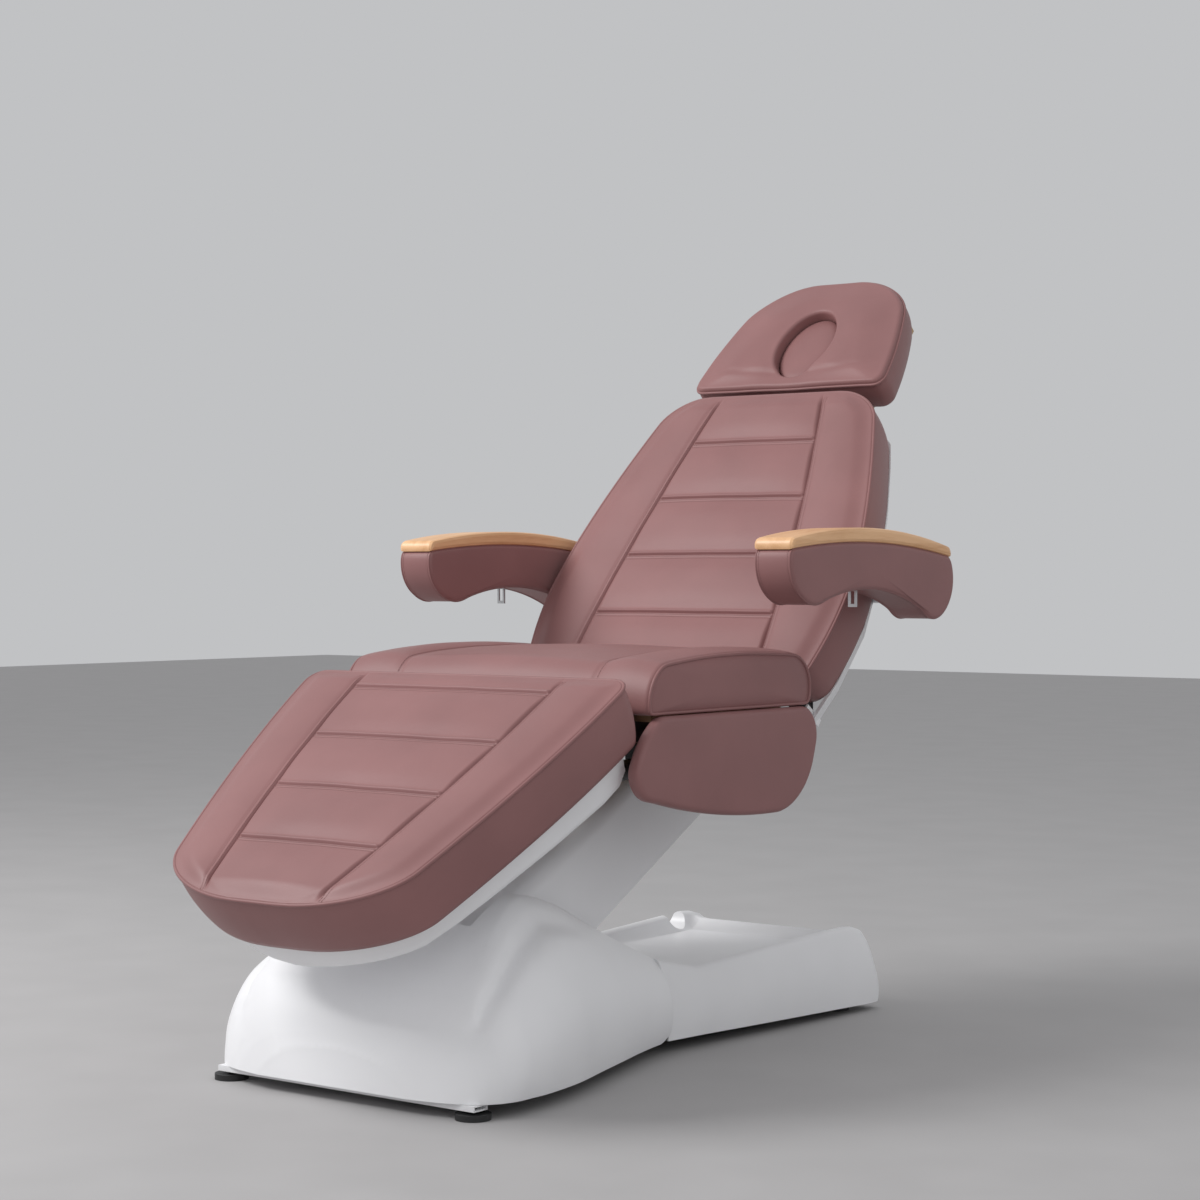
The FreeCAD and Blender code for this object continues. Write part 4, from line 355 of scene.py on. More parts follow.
def grained_material(name, group, scale, colour, tones, roughness, strength, relief):
    """A material whose tone, gloss and bump follow one texture group."""
    made, shader = material(name)
    tree = made.node_tree
    texture = tree.nodes.new("ShaderNodeGroup")
    texture.node_tree = group
    preset(texture, {"Scale": scale})
    ramp = tone_ramp(tree, colour, *tones)
    gloss = tree.nodes.new("ShaderNodeMapRange")
    preset(gloss, {"To Min": roughness[0], "To Max": roughness[1]})
    bump = tree.nodes.new("ShaderNodeBump")
    preset(bump, {"Strength": strength, "Distance": relief})
    wire(tree,
         (texture, "Tone", ramp, "Fac"),
         (ramp, "Color", shader, "Base Color"),
         (texture, "Tone", gloss, "Value"),
         (gloss, "Result", shader, "Roughness"),
         (texture, "Height", bump, "Height"),
         (bump, "Normal", shader, "Normal"))
    return made, shader


@cache
def grain_group():
    """Leather grain: a fine pebble height, and soft tone patches."""
    group, start, end = node_group(
        "Leather Grain", "ShaderNodeTree", {"Scale": FLOAT}, {"Height": FLOAT, "Tone": FLOAT})
    add = group.nodes.new
    coords = add("ShaderNodeTexCoord")
    warp = add("ShaderNodeTexNoise")
    preset(warp, {"Scale": 60.0})
    mix = add("ShaderNodeMix")
    mix.data_type = "VECTOR"
    preset(mix, {MIX_FACTOR: 0.004})
    cells = add("ShaderNodeTexVoronoi")
    cells.feature = "DISTANCE_TO_EDGE"
    clamp = add("ShaderNodeMapRange")
    preset(clamp, {"From Max": 0.22})
    patches = add("ShaderNodeTexNoise")
    preset(patches, {"Scale": 7.0, "Detail": 4.0})
    wire(group,
         (coords, "Object", warp, "Vector"),
         (coords, "Object", mix, MIX_FIRST),
         (warp, "Color", mix, MIX_SECOND),
         (mix, MIX_RESULT, cells, "Vector"),
         (start, "Scale", cells, "Scale"),
         (cells, "Distance", clamp, "Value"),
         (coords, "Object", patches, "Vector"),
         (clamp, "Result", end, "Height"),
         (patches, "Fac", end, "Tone"))
    return group


@cache
def leather_material():
    """Dusty rose leather with a pebbled grain."""
    made, shader = grained_material(
        "Rose Leather", grain_group(), sewing().grain_scale, colours().leather,
        tones=(0.93, 1.06, 0.2), roughness=(0.40, 0.50), strength=0.16, relief=0.0004)
    preset(shader, {"Specular IOR Level": 0.32})
    return made


@cache
def thread_material():
    """Sewing thread with fine fibres."""
    made, shader = material("Rose Thread")
    tree = made.node_tree
    coords = tree.nodes.new("ShaderNodeTexCoord")
    fibres = tree.nodes.new("ShaderNodeTexNoise")
    preset(fibres, {"Scale": 900.0})
    ramp = tone_ramp(tree, colours().thread, dark=0.85, light=1.12, spread=0.2)
    preset(shader, {"Roughness": 0.6})
    wire(tree,
         (coords, "Object", fibres, "Vector"),
         (fibres, "Fac", ramp, "Fac"),
         (ramp, "Color", shader, "Base Color"))
    return made


def wood_group():
    """Wood grain along the armrest: bands, fine pores and their height."""
    group, start, end = node_group(
        "Wood Grain", "ShaderNodeTree", {"Bands": FLOAT}, {"Mask": FLOAT, "Height": FLOAT})
    add = group.nodes.new
    coords = add("ShaderNodeTexCoord")
    stretch = add("ShaderNodeMapping")
    preset(stretch, {"Scale": (1.0, 0.085, 1.0)})
    bands = add("ShaderNodeTexNoise")
    preset(bands, {"Detail": 5.0, "Distortion": 0.6})
    pores = add("ShaderNodeTexNoise")
    preset(pores, {"Scale": 420.0, "Detail": 3.0})
    mix = add("ShaderNodeMath")
    mix.operation = "MULTIPLY_ADD"
    preset(mix, {MATH_FACTOR: 0.35})
    wire(group,
         (coords, "Object", stretch, "Vector"),
         (stretch, "Vector", bands, "Vector"),
         (start, "Bands", bands, "Scale"),
         (stretch, "Vector", pores, "Vector"),
         (pores, "Fac", mix, MATH_VALUE),
         (bands, "Fac", mix, MATH_ADDEND),
         (mix, "Value", end, "Mask"),
         (pores, "Fac", end, "Height"))
    return group


def wood_material():
    """Light beech under a thin satin lacquer."""
    made, shader = material("Beech Wood")
    tree = made.node_tree
    grain = tree.nodes.new("ShaderNodeGroup")
    grain.node_tree = wood_group()
    preset(grain, {"Bands": 55.0})
    ramp = shade_ramp(tree, colours().wood_vein, colours().wood, start=0.42, end=0.78)
    bump = tree.nodes.new("ShaderNodeBump")
    preset(bump, {"Strength": 0.08, "Distance": 0.0003})
    preset(shader, {"Roughness": 0.42, "Coat Weight": 0.15, "Coat Roughness": 0.3})
    wire(tree,
         (grain, "Mask", ramp, "Fac"),
         (ramp, "Color", shader, "Base Color"),
         (grain, "Height", bump, "Height"),
         (bump, "Normal", shader, "Normal"))
    return made


@cache
def speckle_group():
    """A fine moulded texture, and slow variation over a large part."""
    group, start, end = node_group(
        "Fine Texture", "ShaderNodeTree", {"Scale": FLOAT}, {"Height": FLOAT, "Tone": FLOAT})
    coords = group.nodes.new("ShaderNodeTexCoord")
    fine = group.nodes.new("ShaderNodeTexNoise")
    preset(fine, {"Detail": 3.0})
    slow = group.nodes.new("ShaderNodeTexNoise")
    preset(slow, {"Scale": 5.0})
    wire(group,
         (coords, "Object", fine, "Vector"),
         (coords, "Object", slow, "Vector"),
         (start, "Scale", fine, "Scale"),
         (fine, "Fac", end, "Height"),
         (slow, "Fac", end, "Tone"))
    return group


def hard_material(name, colour, roughness, strength, scale, metallic=0.0):
    """A hard finish with a fine surface texture and a little variation."""
    made, shader = grained_material(
        name, speckle_group(), scale, colour, tones=(0.96, 1.03, 0.25),
        roughness=(roughness - GLOSS_SPREAD, roughness + GLOSS_SPREAD), strength=strength, relief=0.0003)
    preset(shader, {"Metallic": metallic})
    return made


def hard_materials():
    """The finish of each hard slot: name, colour, roughness, texture strength and scale, metal."""
    tint = colours()
    finishes = {
        "white_plastic": ("White Plastic", tint.plastic, 0.34, 0.10, 700.0),
        "white_paint": ("White Paint", tint.plastic, 0.38, 0.05, 900.0),
        "black_paint": ("Black Paint", tint.black, 0.42, 0.08, 900.0),
        "steel": ("Bright Steel", tint.steel, 0.28, 0.04, 1500.0, 1.0),
        "bronze": ("Bronze", BRONZE, 0.35, 0.04, 1500.0, 1.0),
        "black_plastic": ("Black Plastic", tint.black, 0.5, 0.12, 1100.0),
        "plywood": ("Plywood", PLYWOOD, 0.7, 0.2, 300.0),
    }
    made = {"wood": wood_material()}
    for slot, finish in finishes.items():
        made[slot] = hard_material(*finish)
    return made


# Forms

def bell(distance, width):
    return math.exp(-(distance / width) ** 2)


def ridges(distance, lines):
    """Height of several rounded ridges, each given as its height, place and width."""
    return sum(height * bell(distance - place, width) for height, place, width in lines)


def smooth_step(value):
    value = min(max(value, 0.0), 1.0)
    return value * value * (3 - 2 * value)


def rounded_end(distance, start, length, width):
    """How far an outline has drawn in at a distance along its rounded end."""
    share = min(max((distance - start) / length, 0), 1)
    return width * (1 - math.sqrt(1 - share ** 2))


def round_drop(distance, radius):
    """How far a rounded rim has dropped at a distance from its edge."""
    gone = max(radius - distance, 0)
    return radius - math.sqrt(max(radius ** 2 - gone ** 2, 0))


def eased_shares(count):
    """Shares from 0 to 1, closer together at both ends."""
    easing = 0.12
    shares = [index / count for index in range(count + 1)]
    return [share - easing * math.sin(2 * math.pi * share) for share in shares]


# Outlines of arcs and lines

STRAIGHT = 0.01
OUTLINE_PITCH = 6.0
FEWEST_POINTS = 3
ROUND_STEPS = 5


def arc_points(start, end, rise, count):
    """Points along an arc that stands out to the right of its direction; the last point is left out."""
    a = Vector(start)
    b = Vector(end)
    run = b - a
    if abs(rise) < STRAIGHT:
        return [a + run * (index / count) for index in range(count)]
    chord = run.length
    out = Vector((run.y, -run.x)).normalized()
    radius = (chord ** 2 / 4 + rise ** 2) / (2 * rise)
    centre = (a + b) / 2 + out * (rise - radius)
    begin = math.atan2(a.y - centre.y, a.x - centre.x)
    way = 1 if rise > 0 else -1
    sweep = way * 2 * math.atan2(chord / 2, way * (radius - rise))
    angles = [begin + sweep * index / count for index in range(count)]
    return [centre + Vector((math.cos(t), math.sin(t))) * abs(radius) for t in angles]


def outline(corners, counts=None):
    """A closed outline of points from corners, each with the rise of the arc that leaves it."""
    loop = []
    for index, (y, z, rise) in enumerate(corners):
        following = corners[(index + 1) % len(corners)][:2]
        if counts:
            count = counts[index]
        else:
            count = max(int(math.dist((y, z), following) / OUTLINE_PITCH), FEWEST_POINTS)
        loop += arc_points((y, z), following, rise, count)
    return loop


def softened(loop, passes):
    """The same loop with its corners eased."""
    for _ in range(passes):
        count = len(loop)
        loop = [loop[i] * 0.5 + (loop[i - 1] + loop[(i + 1) % count]) * 0.25 for i in range(count)]
    return loop


def inset(loop, amount):
    """A loop drawn inwards; the inside lies on the left of its direction."""
    count = len(loop)
    result = []
    for index, spot in enumerate(loop):
        run = loop[(index + 1) % count] - loop[index - 1]
        result.append(spot + Vector((-run.y, run.x)).normalized() * amount)
    return result


def middle_of(loop):
    return sum(loop, Vector((0, 0))) / len(loop)


def padded_slab(name, section, loop, start, end, curve, dome, node):
    """A leather pad of one side outline: rounded rims, and side faces that dome."""
    bm = bmesh.new()
    lean = 1 if end > start else -1
    turns = [math.pi / 2 * step / ROUND_STEPS for step in range(ROUND_STEPS + 1)]
    rounds = [(lean * curve * (1 - math.cos(turn)), curve * (1 - math.sin(turn))) for turn in turns]
    layers = [(start + depth, drawn) for depth, drawn in rounds]
    layers += [(end - depth, drawn) for depth, drawn in reversed(rounds)]
    rings = []
    for x, drawn in layers:
        rings.append([bm.verts.new(section.point(x, *spot)) for spot in inset(loop, drawn)])
    bridge(bm, rings)
    border = inset(loop, curve)
    for ring, x, way in ((rings[0], start, -lean), (rings[-1], end, lean)):
        domed_cap(bm, section, ring, border, middle_of(loop), x, way * dome, steps=12, power=2)
    piece = finished(bm, name, BODY_OF[node])
    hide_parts(node)


# Sewn cushions, in millimetres

# Ridges beside a channel or a long seam: height, or share of the depth, with place and width
CHANNEL_ROLL = ((2.2, 3.5, 2.4),)
CHANNEL_FOLDS = ((0.8, -1.5, 2.0), (0.4, -7.0, 1.8))
SEAM_FOLDS = ((2.6, 0.0, 2.0), (1.0, 9.0, 1.8))
BOLSTER_POWER = 0.7
SIDE_DRAW = 10.0
SIDE_DRAW_LIMIT = 0.25
SIDE_BULGE = 5.0
SIDE_BULGE_POWER = 0.8
SIDE_RINGS = 12
WELD_DISTANCE = 0.02 * MM
PIPING_PITCH = 5.0
PIPING_SPREAD = 1.004
PIPING_LIFT = 1.0
# Rows of stitches, where they start and end, and their height over the leather
STITCH_BESIDE = (4.0, 9.0)
STITCH_BELOW = (-4.0, -9.5)
STITCH_FROM = 14
STITCH_TO = 12
STITCH_RIM = 6
STITCH_STEP = 4
STITCH_SPAN = 2
STITCH_LIFT = 0.25


class Cushion:
    """The form of a sewn cushion in its section: outline, seams and heights."""

    low = 0.0
    high = 0.0
    edge = 0.0
    base = 0.0
    seams = ()
    seed = 0.0
    crown = 8.0
    flat_share = 0.35
    stand = 3.0
    round_over = 4.0
    rim_rise = 36.0
    panel_rise = 7.0
    bolster_rise = 60.0
    channel_pull = 0.75
    channel_reach = 26.0
    lump = 0.9
    lump_size = 70.0
    places_along = 110
    places_inside = 80
    places_outside = 34
    channel_rows = 11
    channel_pitch = 1.3
    channel_clear = 15.0
    stitch_limit = 0.94

    def half(self, along):
        raise NotImplementedError

    def stitch(self, along):
        raise NotImplementedError

    def under(self, x, along):
        raise NotImplementedError

    def top(self, x, along):
        """Height of the cover at a place on the cushion."""
        half = self.half(along)
        stitch = self.stitch(along)
        reach = abs(x)
        lean = math.hypot(1, (self.half(along + 1) - self.half(along - 1)) / 2)
        rim = max(min((half - reach) / lean, along - self.low, self.high - along), 0)
        nearest = min((along - seam for seam in self.seams), key=abs)
        inside = smooth_step((stitch - reach) / self.panel_rise)
        across = 1 - min(reach / stitch, 1) ** 2
        swell = 1 - self.channel_pull * bell(nearest, self.channel_reach)
        panel = self.crown * (self.flat_share + (1 - self.flat_share) * across) * swell
        panel += ridges(nearest, CHANNEL_ROLL)
        panel -= sewing().channel_depth / MM * ridges(nearest, CHANNEL_FOLDS)
        share = min(max((reach - stitch) / max(half - stitch, 1), 0), 1)
        bolster = self.crown * math.sin(math.pi * share) ** BOLSTER_POWER
        bolster *= smooth_step((half - stitch) / self.bolster_rise)
        height = self.edge + self.stand * (1 - share) + inside * panel + (1 - inside) * bolster
        height -= ridges(reach - stitch, SEAM_FOLDS)
        height += self.lump * noise.noise(Vector((x / self.lump_size, along / self.lump_size, self.seed)))
        height = self.edge + (height - self.edge) * smooth_step(rim / self.rim_rise)
        return height - round_drop(rim, self.round_over)

    def rows(self):
        """Places along the cushion, closer together at both ends and beside each channel."""
        places = [self.low + (self.high - self.low) * share for share in eased_shares(self.places_along)]
        clear = [along for along in places
                 if min(abs(along - seam) for seam in self.seams) > self.channel_clear]
        steps = range(-self.channel_rows, self.channel_rows + 1)
        close = [seam + self.channel_pitch * step for seam in self.seams for step in steps]
        return sorted(clear + close)

    def columns(self, along):
        """Places across the cushion, closer together at its rim and beside its long seams."""
        half = self.half(along)
        stitch = min(self.stitch(along), half * self.stitch_limit)
        inner = [stitch * (2 * share - 1) for share in eased_shares(self.places_inside)]
        outer = [stitch + (half - stitch) * share for share in eased_shares(self.places_outside)][1:]
        return [-x for x in reversed(outer)] + inner + outer


class LegCushion(Cushion):
    """The leg cushion, from its toe to the seat."""

    low = -567.0
    high = -18.0
    edge = 101.8
    base = 22.8
    seams = (-62.0, -187.0, -312.0, -437.0)
    seed = 3.1
    half_width = 320.0
    half_taper = 110.0
    toe_length = 95.0
    toe_draw = 170.0
    corner = 30.0
    stitch_width = 200.0
    stitch_taper = 92.0
    lip = 17.5
    lip_width = 10.0
    lip_rise = 3.0

    def share_down(self, along):
        """Share of the way from the seat to the toe."""
        length = self.high - self.low
        return min(max(self.high - along, 0), length) / length

    def half(self, along):
        distance = min(max(self.high - along, 0), self.high - self.low)
        width = self.half_width - self.half_taper * self.share_down(along) ** TAPER_POWER
        toe_start = self.high - self.low - self.toe_length
        width -= rounded_end(distance, toe_start, self.toe_length, self.toe_draw)
        return width - rounded_end(self.corner - distance, 0, self.corner, self.corner)

    def stitch(self, along):
        return self.stitch_width - self.stitch_taper * self.share_down(along) ** TAPER_POWER

    def under(self, x, along):
        """The sides reach below the base, outside the tray."""
        rim = min(self.half(along) - abs(x), along - self.low)
        return self.base - self.lip * smooth_step((self.lip_width - rim) / self.lip_rise)


class BackCushion(Cushion):
    """The back cushion, from the seat to the headrest."""

    low = -15.0
    high = 590.0
    edge = 82.5
    base = -9.5
    seams = (108.0, 232.0, 356.0, 480.0)
    seed = 7.7
    widest = 150.0
    half_width = 314.0
    half_taper = 104.0
    hip_draw = 24.0
    shoulder_length = 60.0
    shoulder_draw = 70.0
    corner_length = 30.0
    corner_draw = 26.0
    stitch_width = 196.0
    stitch_taper = 88.0
    fall_length = 34.0
    fall_draw = 22.0
    hinge_end = 26.0
    hinge_inner = 217.0
    hinge_outer = 263.0
    hinge_hollow = 56.0
    frame_half = 262.0
    frame_end = 356.0
    neck_half = 146.0
    frame_hollow = 18.0

    def half(self, along):
        above = along - self.widest
        if above > 0:
            share = min(above / (self.high - self.widest), 1)
            width = self.half_width - self.half_taper * share ** TAPER_POWER
        else:
            width = self.half_width - self.hip_draw * (above / (self.widest - self.low)) ** 2
        shoulder = self.high - self.shoulder_length
        width -= rounded_end(along, shoulder, self.shoulder_length, self.shoulder_draw)
        corner = self.low + self.corner_length
        return width - rounded_end(corner - along, 0, self.corner_length, self.corner_draw)

    def stitch(self, along):
        share = min(max((along - self.low) / (self.high - self.low), 0), 1)
        return self.stitch_width - self.stitch_taper * share ** TAPER_POWER

    def top(self, x, along):
        """The lower end falls away towards the seat."""
        fall = rounded_end(self.low + self.fall_length - along, 0, self.fall_length, self.fall_draw)
        return super().top(x, along) - fall

    def under(self, x, along):
        """The base is hollowed for the frame, more so over the seat hinges."""
        reach = abs(x)
        if along < self.hinge_end and self.hinge_inner < reach < self.hinge_outer:
            return self.hinge_hollow
        if reach < self.neck_half or (reach < self.frame_half and along < self.frame_end):
            return self.frame_hollow
        return self.base


def bulging_sides(bm, section, rim, foot):
    """Rings of vertices between the rim of a cushion and its foot."""
    rings = []
    for step in range(1, SIDE_RINGS):
        share = step / SIDE_RINGS
        push = SIDE_BULGE * math.sin(math.pi * share) ** SIDE_BULGE_POWER
        ring = []
        for index, (start, end) in enumerate(zip(rim, foot)):
            before = rim[index - 1]
            after = rim[(index + 1) % len(rim)]
            out = Vector((after[1] - before[1], before[0] - after[0])).normalized()
            x, along, height = (a + (b - a) * share for a, b in zip(start, end))
            ring.append(bm.verts.new(section.point(x + out.x * push, along + out.y * push, height)))
        rings.append(ring)
    return rings


def sewn_piece(form, section, name, node):
    """The leather cover of a cushion: sewn top, bulging sides and a base, with piping and stitches."""
    bm = bmesh.new()
    middle = (form.low + form.high) / 2
    shrink_along = 1 - 2 * SIDE_DRAW / (form.high - form.low)
    top_spots = []
    low_spots = []
    for along in form.rows():
        across = form.columns(along)
        top_spots.append([(x, along, form.top(x, along)) for x in across])
        shrink = 1 - min(SIDE_DRAW / form.half(along), SIDE_DRAW_LIMIT)
        low_along = middle + (along - middle) * shrink_along
        low_spots.append([(x * shrink, low_along, form.under(x, along)) for x in across])
    upper = [[bm.verts.new(section.point(*spot)) for spot in row] for row in top_spots]
    lower = [[bm.verts.new(section.point(*spot)) for spot in row] for row in low_spots]
    quilt(bm, upper)
    quilt(bm, lower)
    rim = rim_of(top_spots)
    sides = bulging_sides(bm, section, rim, rim_of(low_spots))
    bridge(bm, [rim_of(upper)] + sides + [rim_of(lower)])
    bmesh.ops.remove_doubles(bm, verts=bm.verts, dist=WELD_DISTANCE)
    piece = finished(bm, name, BODY_OF[node])
    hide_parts(node)
    piping = [section.point(x * PIPING_SPREAD, along, out + PIPING_LIFT)
              for x, along, out in thinned(rim, PIPING_PITCH)]
    cord(name + "_piping", piping, sewing().piping_radius, section.up(), BODY_OF[node])
    stitches(name + "_stitches", sewn_lines(form, section), BODY_OF[node])


def thinned(loop, pitch):
    """The points of a closed loop that lie at least a pitch apart."""
    kept = [loop[0]]
    for spot in loop[1:]:
        if math.dist(spot[:2], kept[-1][:2]) >= pitch:
            kept.append(spot)
    if math.dist(kept[0][:2], kept[-1][:2]) < pitch:
        kept.pop()
    return kept


def sewn_lines(form, section):
    """Paths of the stitches: two beside each long seam and two below each channel."""
    paths = []
    for side in (-1, 1):
        for beside in STITCH_BESIDE:
            path = []
            along = form.low + STITCH_FROM
            while along < form.high - STITCH_TO:
                x = side * (form.stitch(along) + beside)
                if abs(x) < form.half(along) - STITCH_RIM:
                    path.append(section.point(x, along, form.top(x, along) + STITCH_LIFT))
                along += STITCH_STEP
            paths.append(path)
    for seam in form.seams:
        for below in STITCH_BELOW:
            along = seam + below
            reach = form.stitch(along) - STITCH_BESIDE[0]
            count = int(reach / STITCH_SPAN)
            spots = [reach * index / count for index in range(-count, count + 1)]
            paths.append([section.point(x, along, form.top(x, along) + STITCH_LIFT) for x in spots])
    return paths


class BED_OT_leg_cushion(bpy.types.Operator):
    """Leg cushion with its piping and stitches"""
    bl_idname = "bed.leg_cushion"
    bl_label = "Leg cushion"

    def execute(self, context):
        sewn_piece(LegCushion(), LEG, "leg_leather", "leg_cushion")
        return {"FINISHED"}


class BED_OT_back_cushion(bpy.types.Operator):
    """Back cushion with its piping and stitches"""
    bl_idname = "bed.back_cushion"
    bl_label = "Back cushion"

    def execute(self, context):
        sewn_piece(BackCushion(), BACK, "back_leather", "back_cushion")
        return {"FINISHED"}


# Headrest, in millimetres

class HeadForm:
    """The headrest from its front: outline round the face hole, and heights."""

    low = 14.0
    high = 293.0
    face = 123.0
    hole_x = 56.0
    hole_y = 82.0
    edge = 74.0
    base = 6.0
    half_width = 204.0
    half_taper = 22.0
    taper_span = 170.0
    top_length = 95.0
    top_draw = 96.0
    corner_length = 24.0
    corner_draw = 20.0
    farthest = 300.0
    halvings = 36
    crown = 9.0
    crown_span = 80.0
    mouth_dip = 3.5
    mouth_reach = 26.0
    lump = 0.8
    lump_size = 60.0
    seed = 11.3
    crease = 2.2
    crease_place = 34.0
    crease_bow = 0.00035
    crease_width = 7.0
    crease_half = 190.0
    crease_fade = 60.0
    rim_round = 9.0
    lip_round = 7.0
    hole_steps = (0.0, 20.0, 45.0)
    cover_rings = 46
    side_rings = 10
    side_bulge = 5.0
    side_draw = 9.0
    piping_out = 0.6
    piping_sunk = 1.0
    plug_sunk = 14.0
    plug_below = 12.0
    plug_crown = 5.4
    plug_foot = 0.98
    # Rounded face of the plug: share of the hole, and height over its rim
    plug_profile = ((0.30, 5.2), (0.55, 4.6), (0.78, 3.2), (0.92, 1.2), (0.985, -2.5), (0.992, -8.0))

    def half(self, along):
        along = min(max(along, self.low), self.high)
        width = self.half_width - self.half_taper * (along / self.taper_span) ** 2
        width -= rounded_end(along, self.high - self.top_length, self.top_length, self.top_draw)
        corner = self.low + self.corner_length
        return width - rounded_end(corner - along, 0, self.corner_length, self.corner_draw)

    def reach(self, turn):
        """Distance from the middle of the face hole to the outline in one direction."""
        near = 0.0
        far = self.farthest
        for _ in range(self.halvings):
            middle = (near + far) / 2
            along = self.face + math.cos(turn) * middle
            if self.low <= along <= self.high and abs(math.sin(turn) * middle) <= self.half(along):
                near = middle
            else:
                far = middle
        return near

    def mouth(self, turn):
        """Distance from the middle of the face hole to its edge in one direction."""
        return 1 / math.hypot(math.sin(turn) / self.hole_x, math.cos(turn) / self.hole_y)

    def height(self, turn, radius, inner, outer):
        """Height of the cover: crowned between its rim and the lip of the face hole."""
        x = math.sin(turn) * radius
        along = self.face + math.cos(turn) * radius
        rim = outer - radius
        lip = radius - inner
        height = self.edge + self.crown * smooth_step(rim / self.crown_span)
        height -= self.mouth_dip * bell(lip, self.mouth_reach)
        height += self.lump * noise.noise(Vector((x / self.lump_size, along / self.lump_size, self.seed)))
        crease = bell(along - self.low - self.crease_place - self.crease_bow * x * x, self.crease_width)
        height -= self.crease * crease * smooth_step((self.crease_half - abs(x)) / self.crease_fade)
        return height - round_drop(rim, self.rim_round) - round_drop(lip, self.lip_round)

    def spot(self, turn, radius, height):
        return HEAD.point(math.sin(turn) * radius, self.face + math.cos(turn) * radius, height)

    def ring(self, bm, turns, radii, heights):
        return [bm.verts.new(self.spot(*place)) for place in zip(turns, radii, heights)]


class BED_OT_head_cushion(bpy.types.Operator):
    """Head cushion with its face hole, plug and piping"""
    bl_idname = "bed.head_cushion"
    bl_label = "Head cushion"

    def execute(self, context):
        form = HeadForm()
        turns = [math.radians(degrees) for degrees in range(360)]
        mouth = [form.mouth(turn) for turn in turns]
        self.cover(form, turns, mouth)
        self.plug(form, turns, mouth)
        return {"FINISHED"}

    def cover(self, form, turns, mouth):
        """The cover, from the face hole over the top to the foot of the sides."""
        bm = bmesh.new()
        outer = [form.reach(turn) for turn in turns]
        rings = [form.ring(bm, turns, mouth, [form.base + step] * len(turns)) for step in form.hole_steps]
        for share in eased_shares(form.cover_rings):
            radii = [near + (far - near) * share for near, far in zip(mouth, outer)]
            heights = [form.height(*place) for place in zip(turns, radii, mouth, outer)]
            rings.append(form.ring(bm, turns, radii, heights))
        for step in range(1, form.side_rings + 1):
            share = step / form.side_rings
            push = form.side_bulge * math.sin(math.pi * share) - form.side_draw * share
            falls = [top + (form.base - top) * share for top in heights]
            rings.append(form.ring(bm, turns, [far + push for far in outer], falls))
        bridge(bm, rings + rings[:1])
        piece = finished(bm, "head_leather", BODY_OF["head_cushion"])
        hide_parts("head_cushion")
        border = [form.spot(turn, far + form.piping_out, top - form.piping_sunk)
                  for turn, far, top in zip(turns, outer, heights)]
        cord("head_leather_piping", border, sewing().piping_radius, HEAD.up(), BODY_OF["head_cushion"])

    def plug(self, form, turns, mouth):
        """The plug that fills the face hole, with a crowned front and a flat foot."""
        bm = bmesh.new()
        top = form.edge - form.plug_sunk
        low = form.base - form.plug_below
        levels = [(share, top + rise) for share, rise in form.plug_profile] + [(form.plug_foot, low)]
        rings = [form.ring(bm, turns, [radius * share for radius in mouth], [height] * len(turns))
                 for share, height in levels]
        bridge(bm, rings)
        fan(bm, rings[0], HEAD.point(0, form.face, top + form.plug_crown))
        fan(bm, rings[-1], HEAD.point(0, form.face, low))
        piece = finished(bm, "face_plug_leather", BODY_OF["face_plug"])
        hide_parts("face_plug")


# Side skirts, in millimetres

SKIRT_OUTLINE = [
    (78, 134, 0), (-318, 134, 10), (-384, 52, 14), (-335, 6, 11), (0, -32, 22), (100, 62, 16),
]
SKIRT_INNER = 300.0
SKIRT_OUTER = 324.0
SKIRT_ROUND = 9.0
SKIRT_DOME = 3.0


class BED_OT_side_skirts(bpy.types.Operator):
    """Padded skirts on both sides of the seat"""
    bl_idname = "bed.side_skirts"
    bl_label = "Side skirts"

    def execute(self, context):
        loop = softened(outline(SKIRT_OUTLINE), passes=3)
        for name, side in SIDES:
            node = name + "_side_skirt"
            padded_slab(node + "_leather", SEAT, loop, side * SKIRT_INNER, side * SKIRT_OUTER,
                        SKIRT_ROUND, SKIRT_DOME, node)
        return {"FINISHED"}


# Armrests, in millimetres

PAD_OUTLINE = [
    (-425, 78, 14), (-396, 4, 10), (-325, -2, -26), (-30, -20, 13), (40, -26, 20), (60, 68, 17),
]
PAD_INNER = 335.0
PAD_OUTER = 407.0
PAD_ROUND = 6.0
PAD_DOME = 1.0
PAD_STITCH = 9.0
PAD_STITCH_LIFT = 0.15
WELT_PLACE = 4.5
WELT_SUNK = 0.6
WELT_RADIUS = 1.6
WELT_SIDES = 6


class BED_OT_armrest_pads(bpy.types.Operator):
    """Leather armrest bodies with seams along both rims"""
    bl_idname = "bed.armrest_pads"
    bl_label = "Armrest pads"

    def execute(self, context):
        loop = softened(outline(PAD_OUTLINE), passes=2)
        for name, side in SIDES:
            node = name + "_armrest_pad"
            start = side * PAD_INNER
            end = side * PAD_OUTER
            padded_slab(node + "_leather", ARMREST, loop, start, end, PAD_ROUND, PAD_DOME, node)
            paths = []
            for label, rim, inward in (("inner", start, side), ("outer", end, -side)):
                sewn = rim + inward * PAD_STITCH
                path = [ARMREST.point(sewn, *spot) for spot in inset(loop, -PAD_STITCH_LIFT)]
                paths.append(path + path[:1])
                place = rim + inward * WELT_PLACE
                welt = [ARMREST.point(place, *spot) for spot in inset(loop, WELT_SUNK)]
                cord(f"{node}_welt_{label}", welt, WELT_RADIUS * MM, ACROSS, BODY_OF[node], WELT_SIDES)
            stitches(node + "_stitches", paths, BODY_OF[node])
        return {"FINISHED"}


# Seat, in millimetres

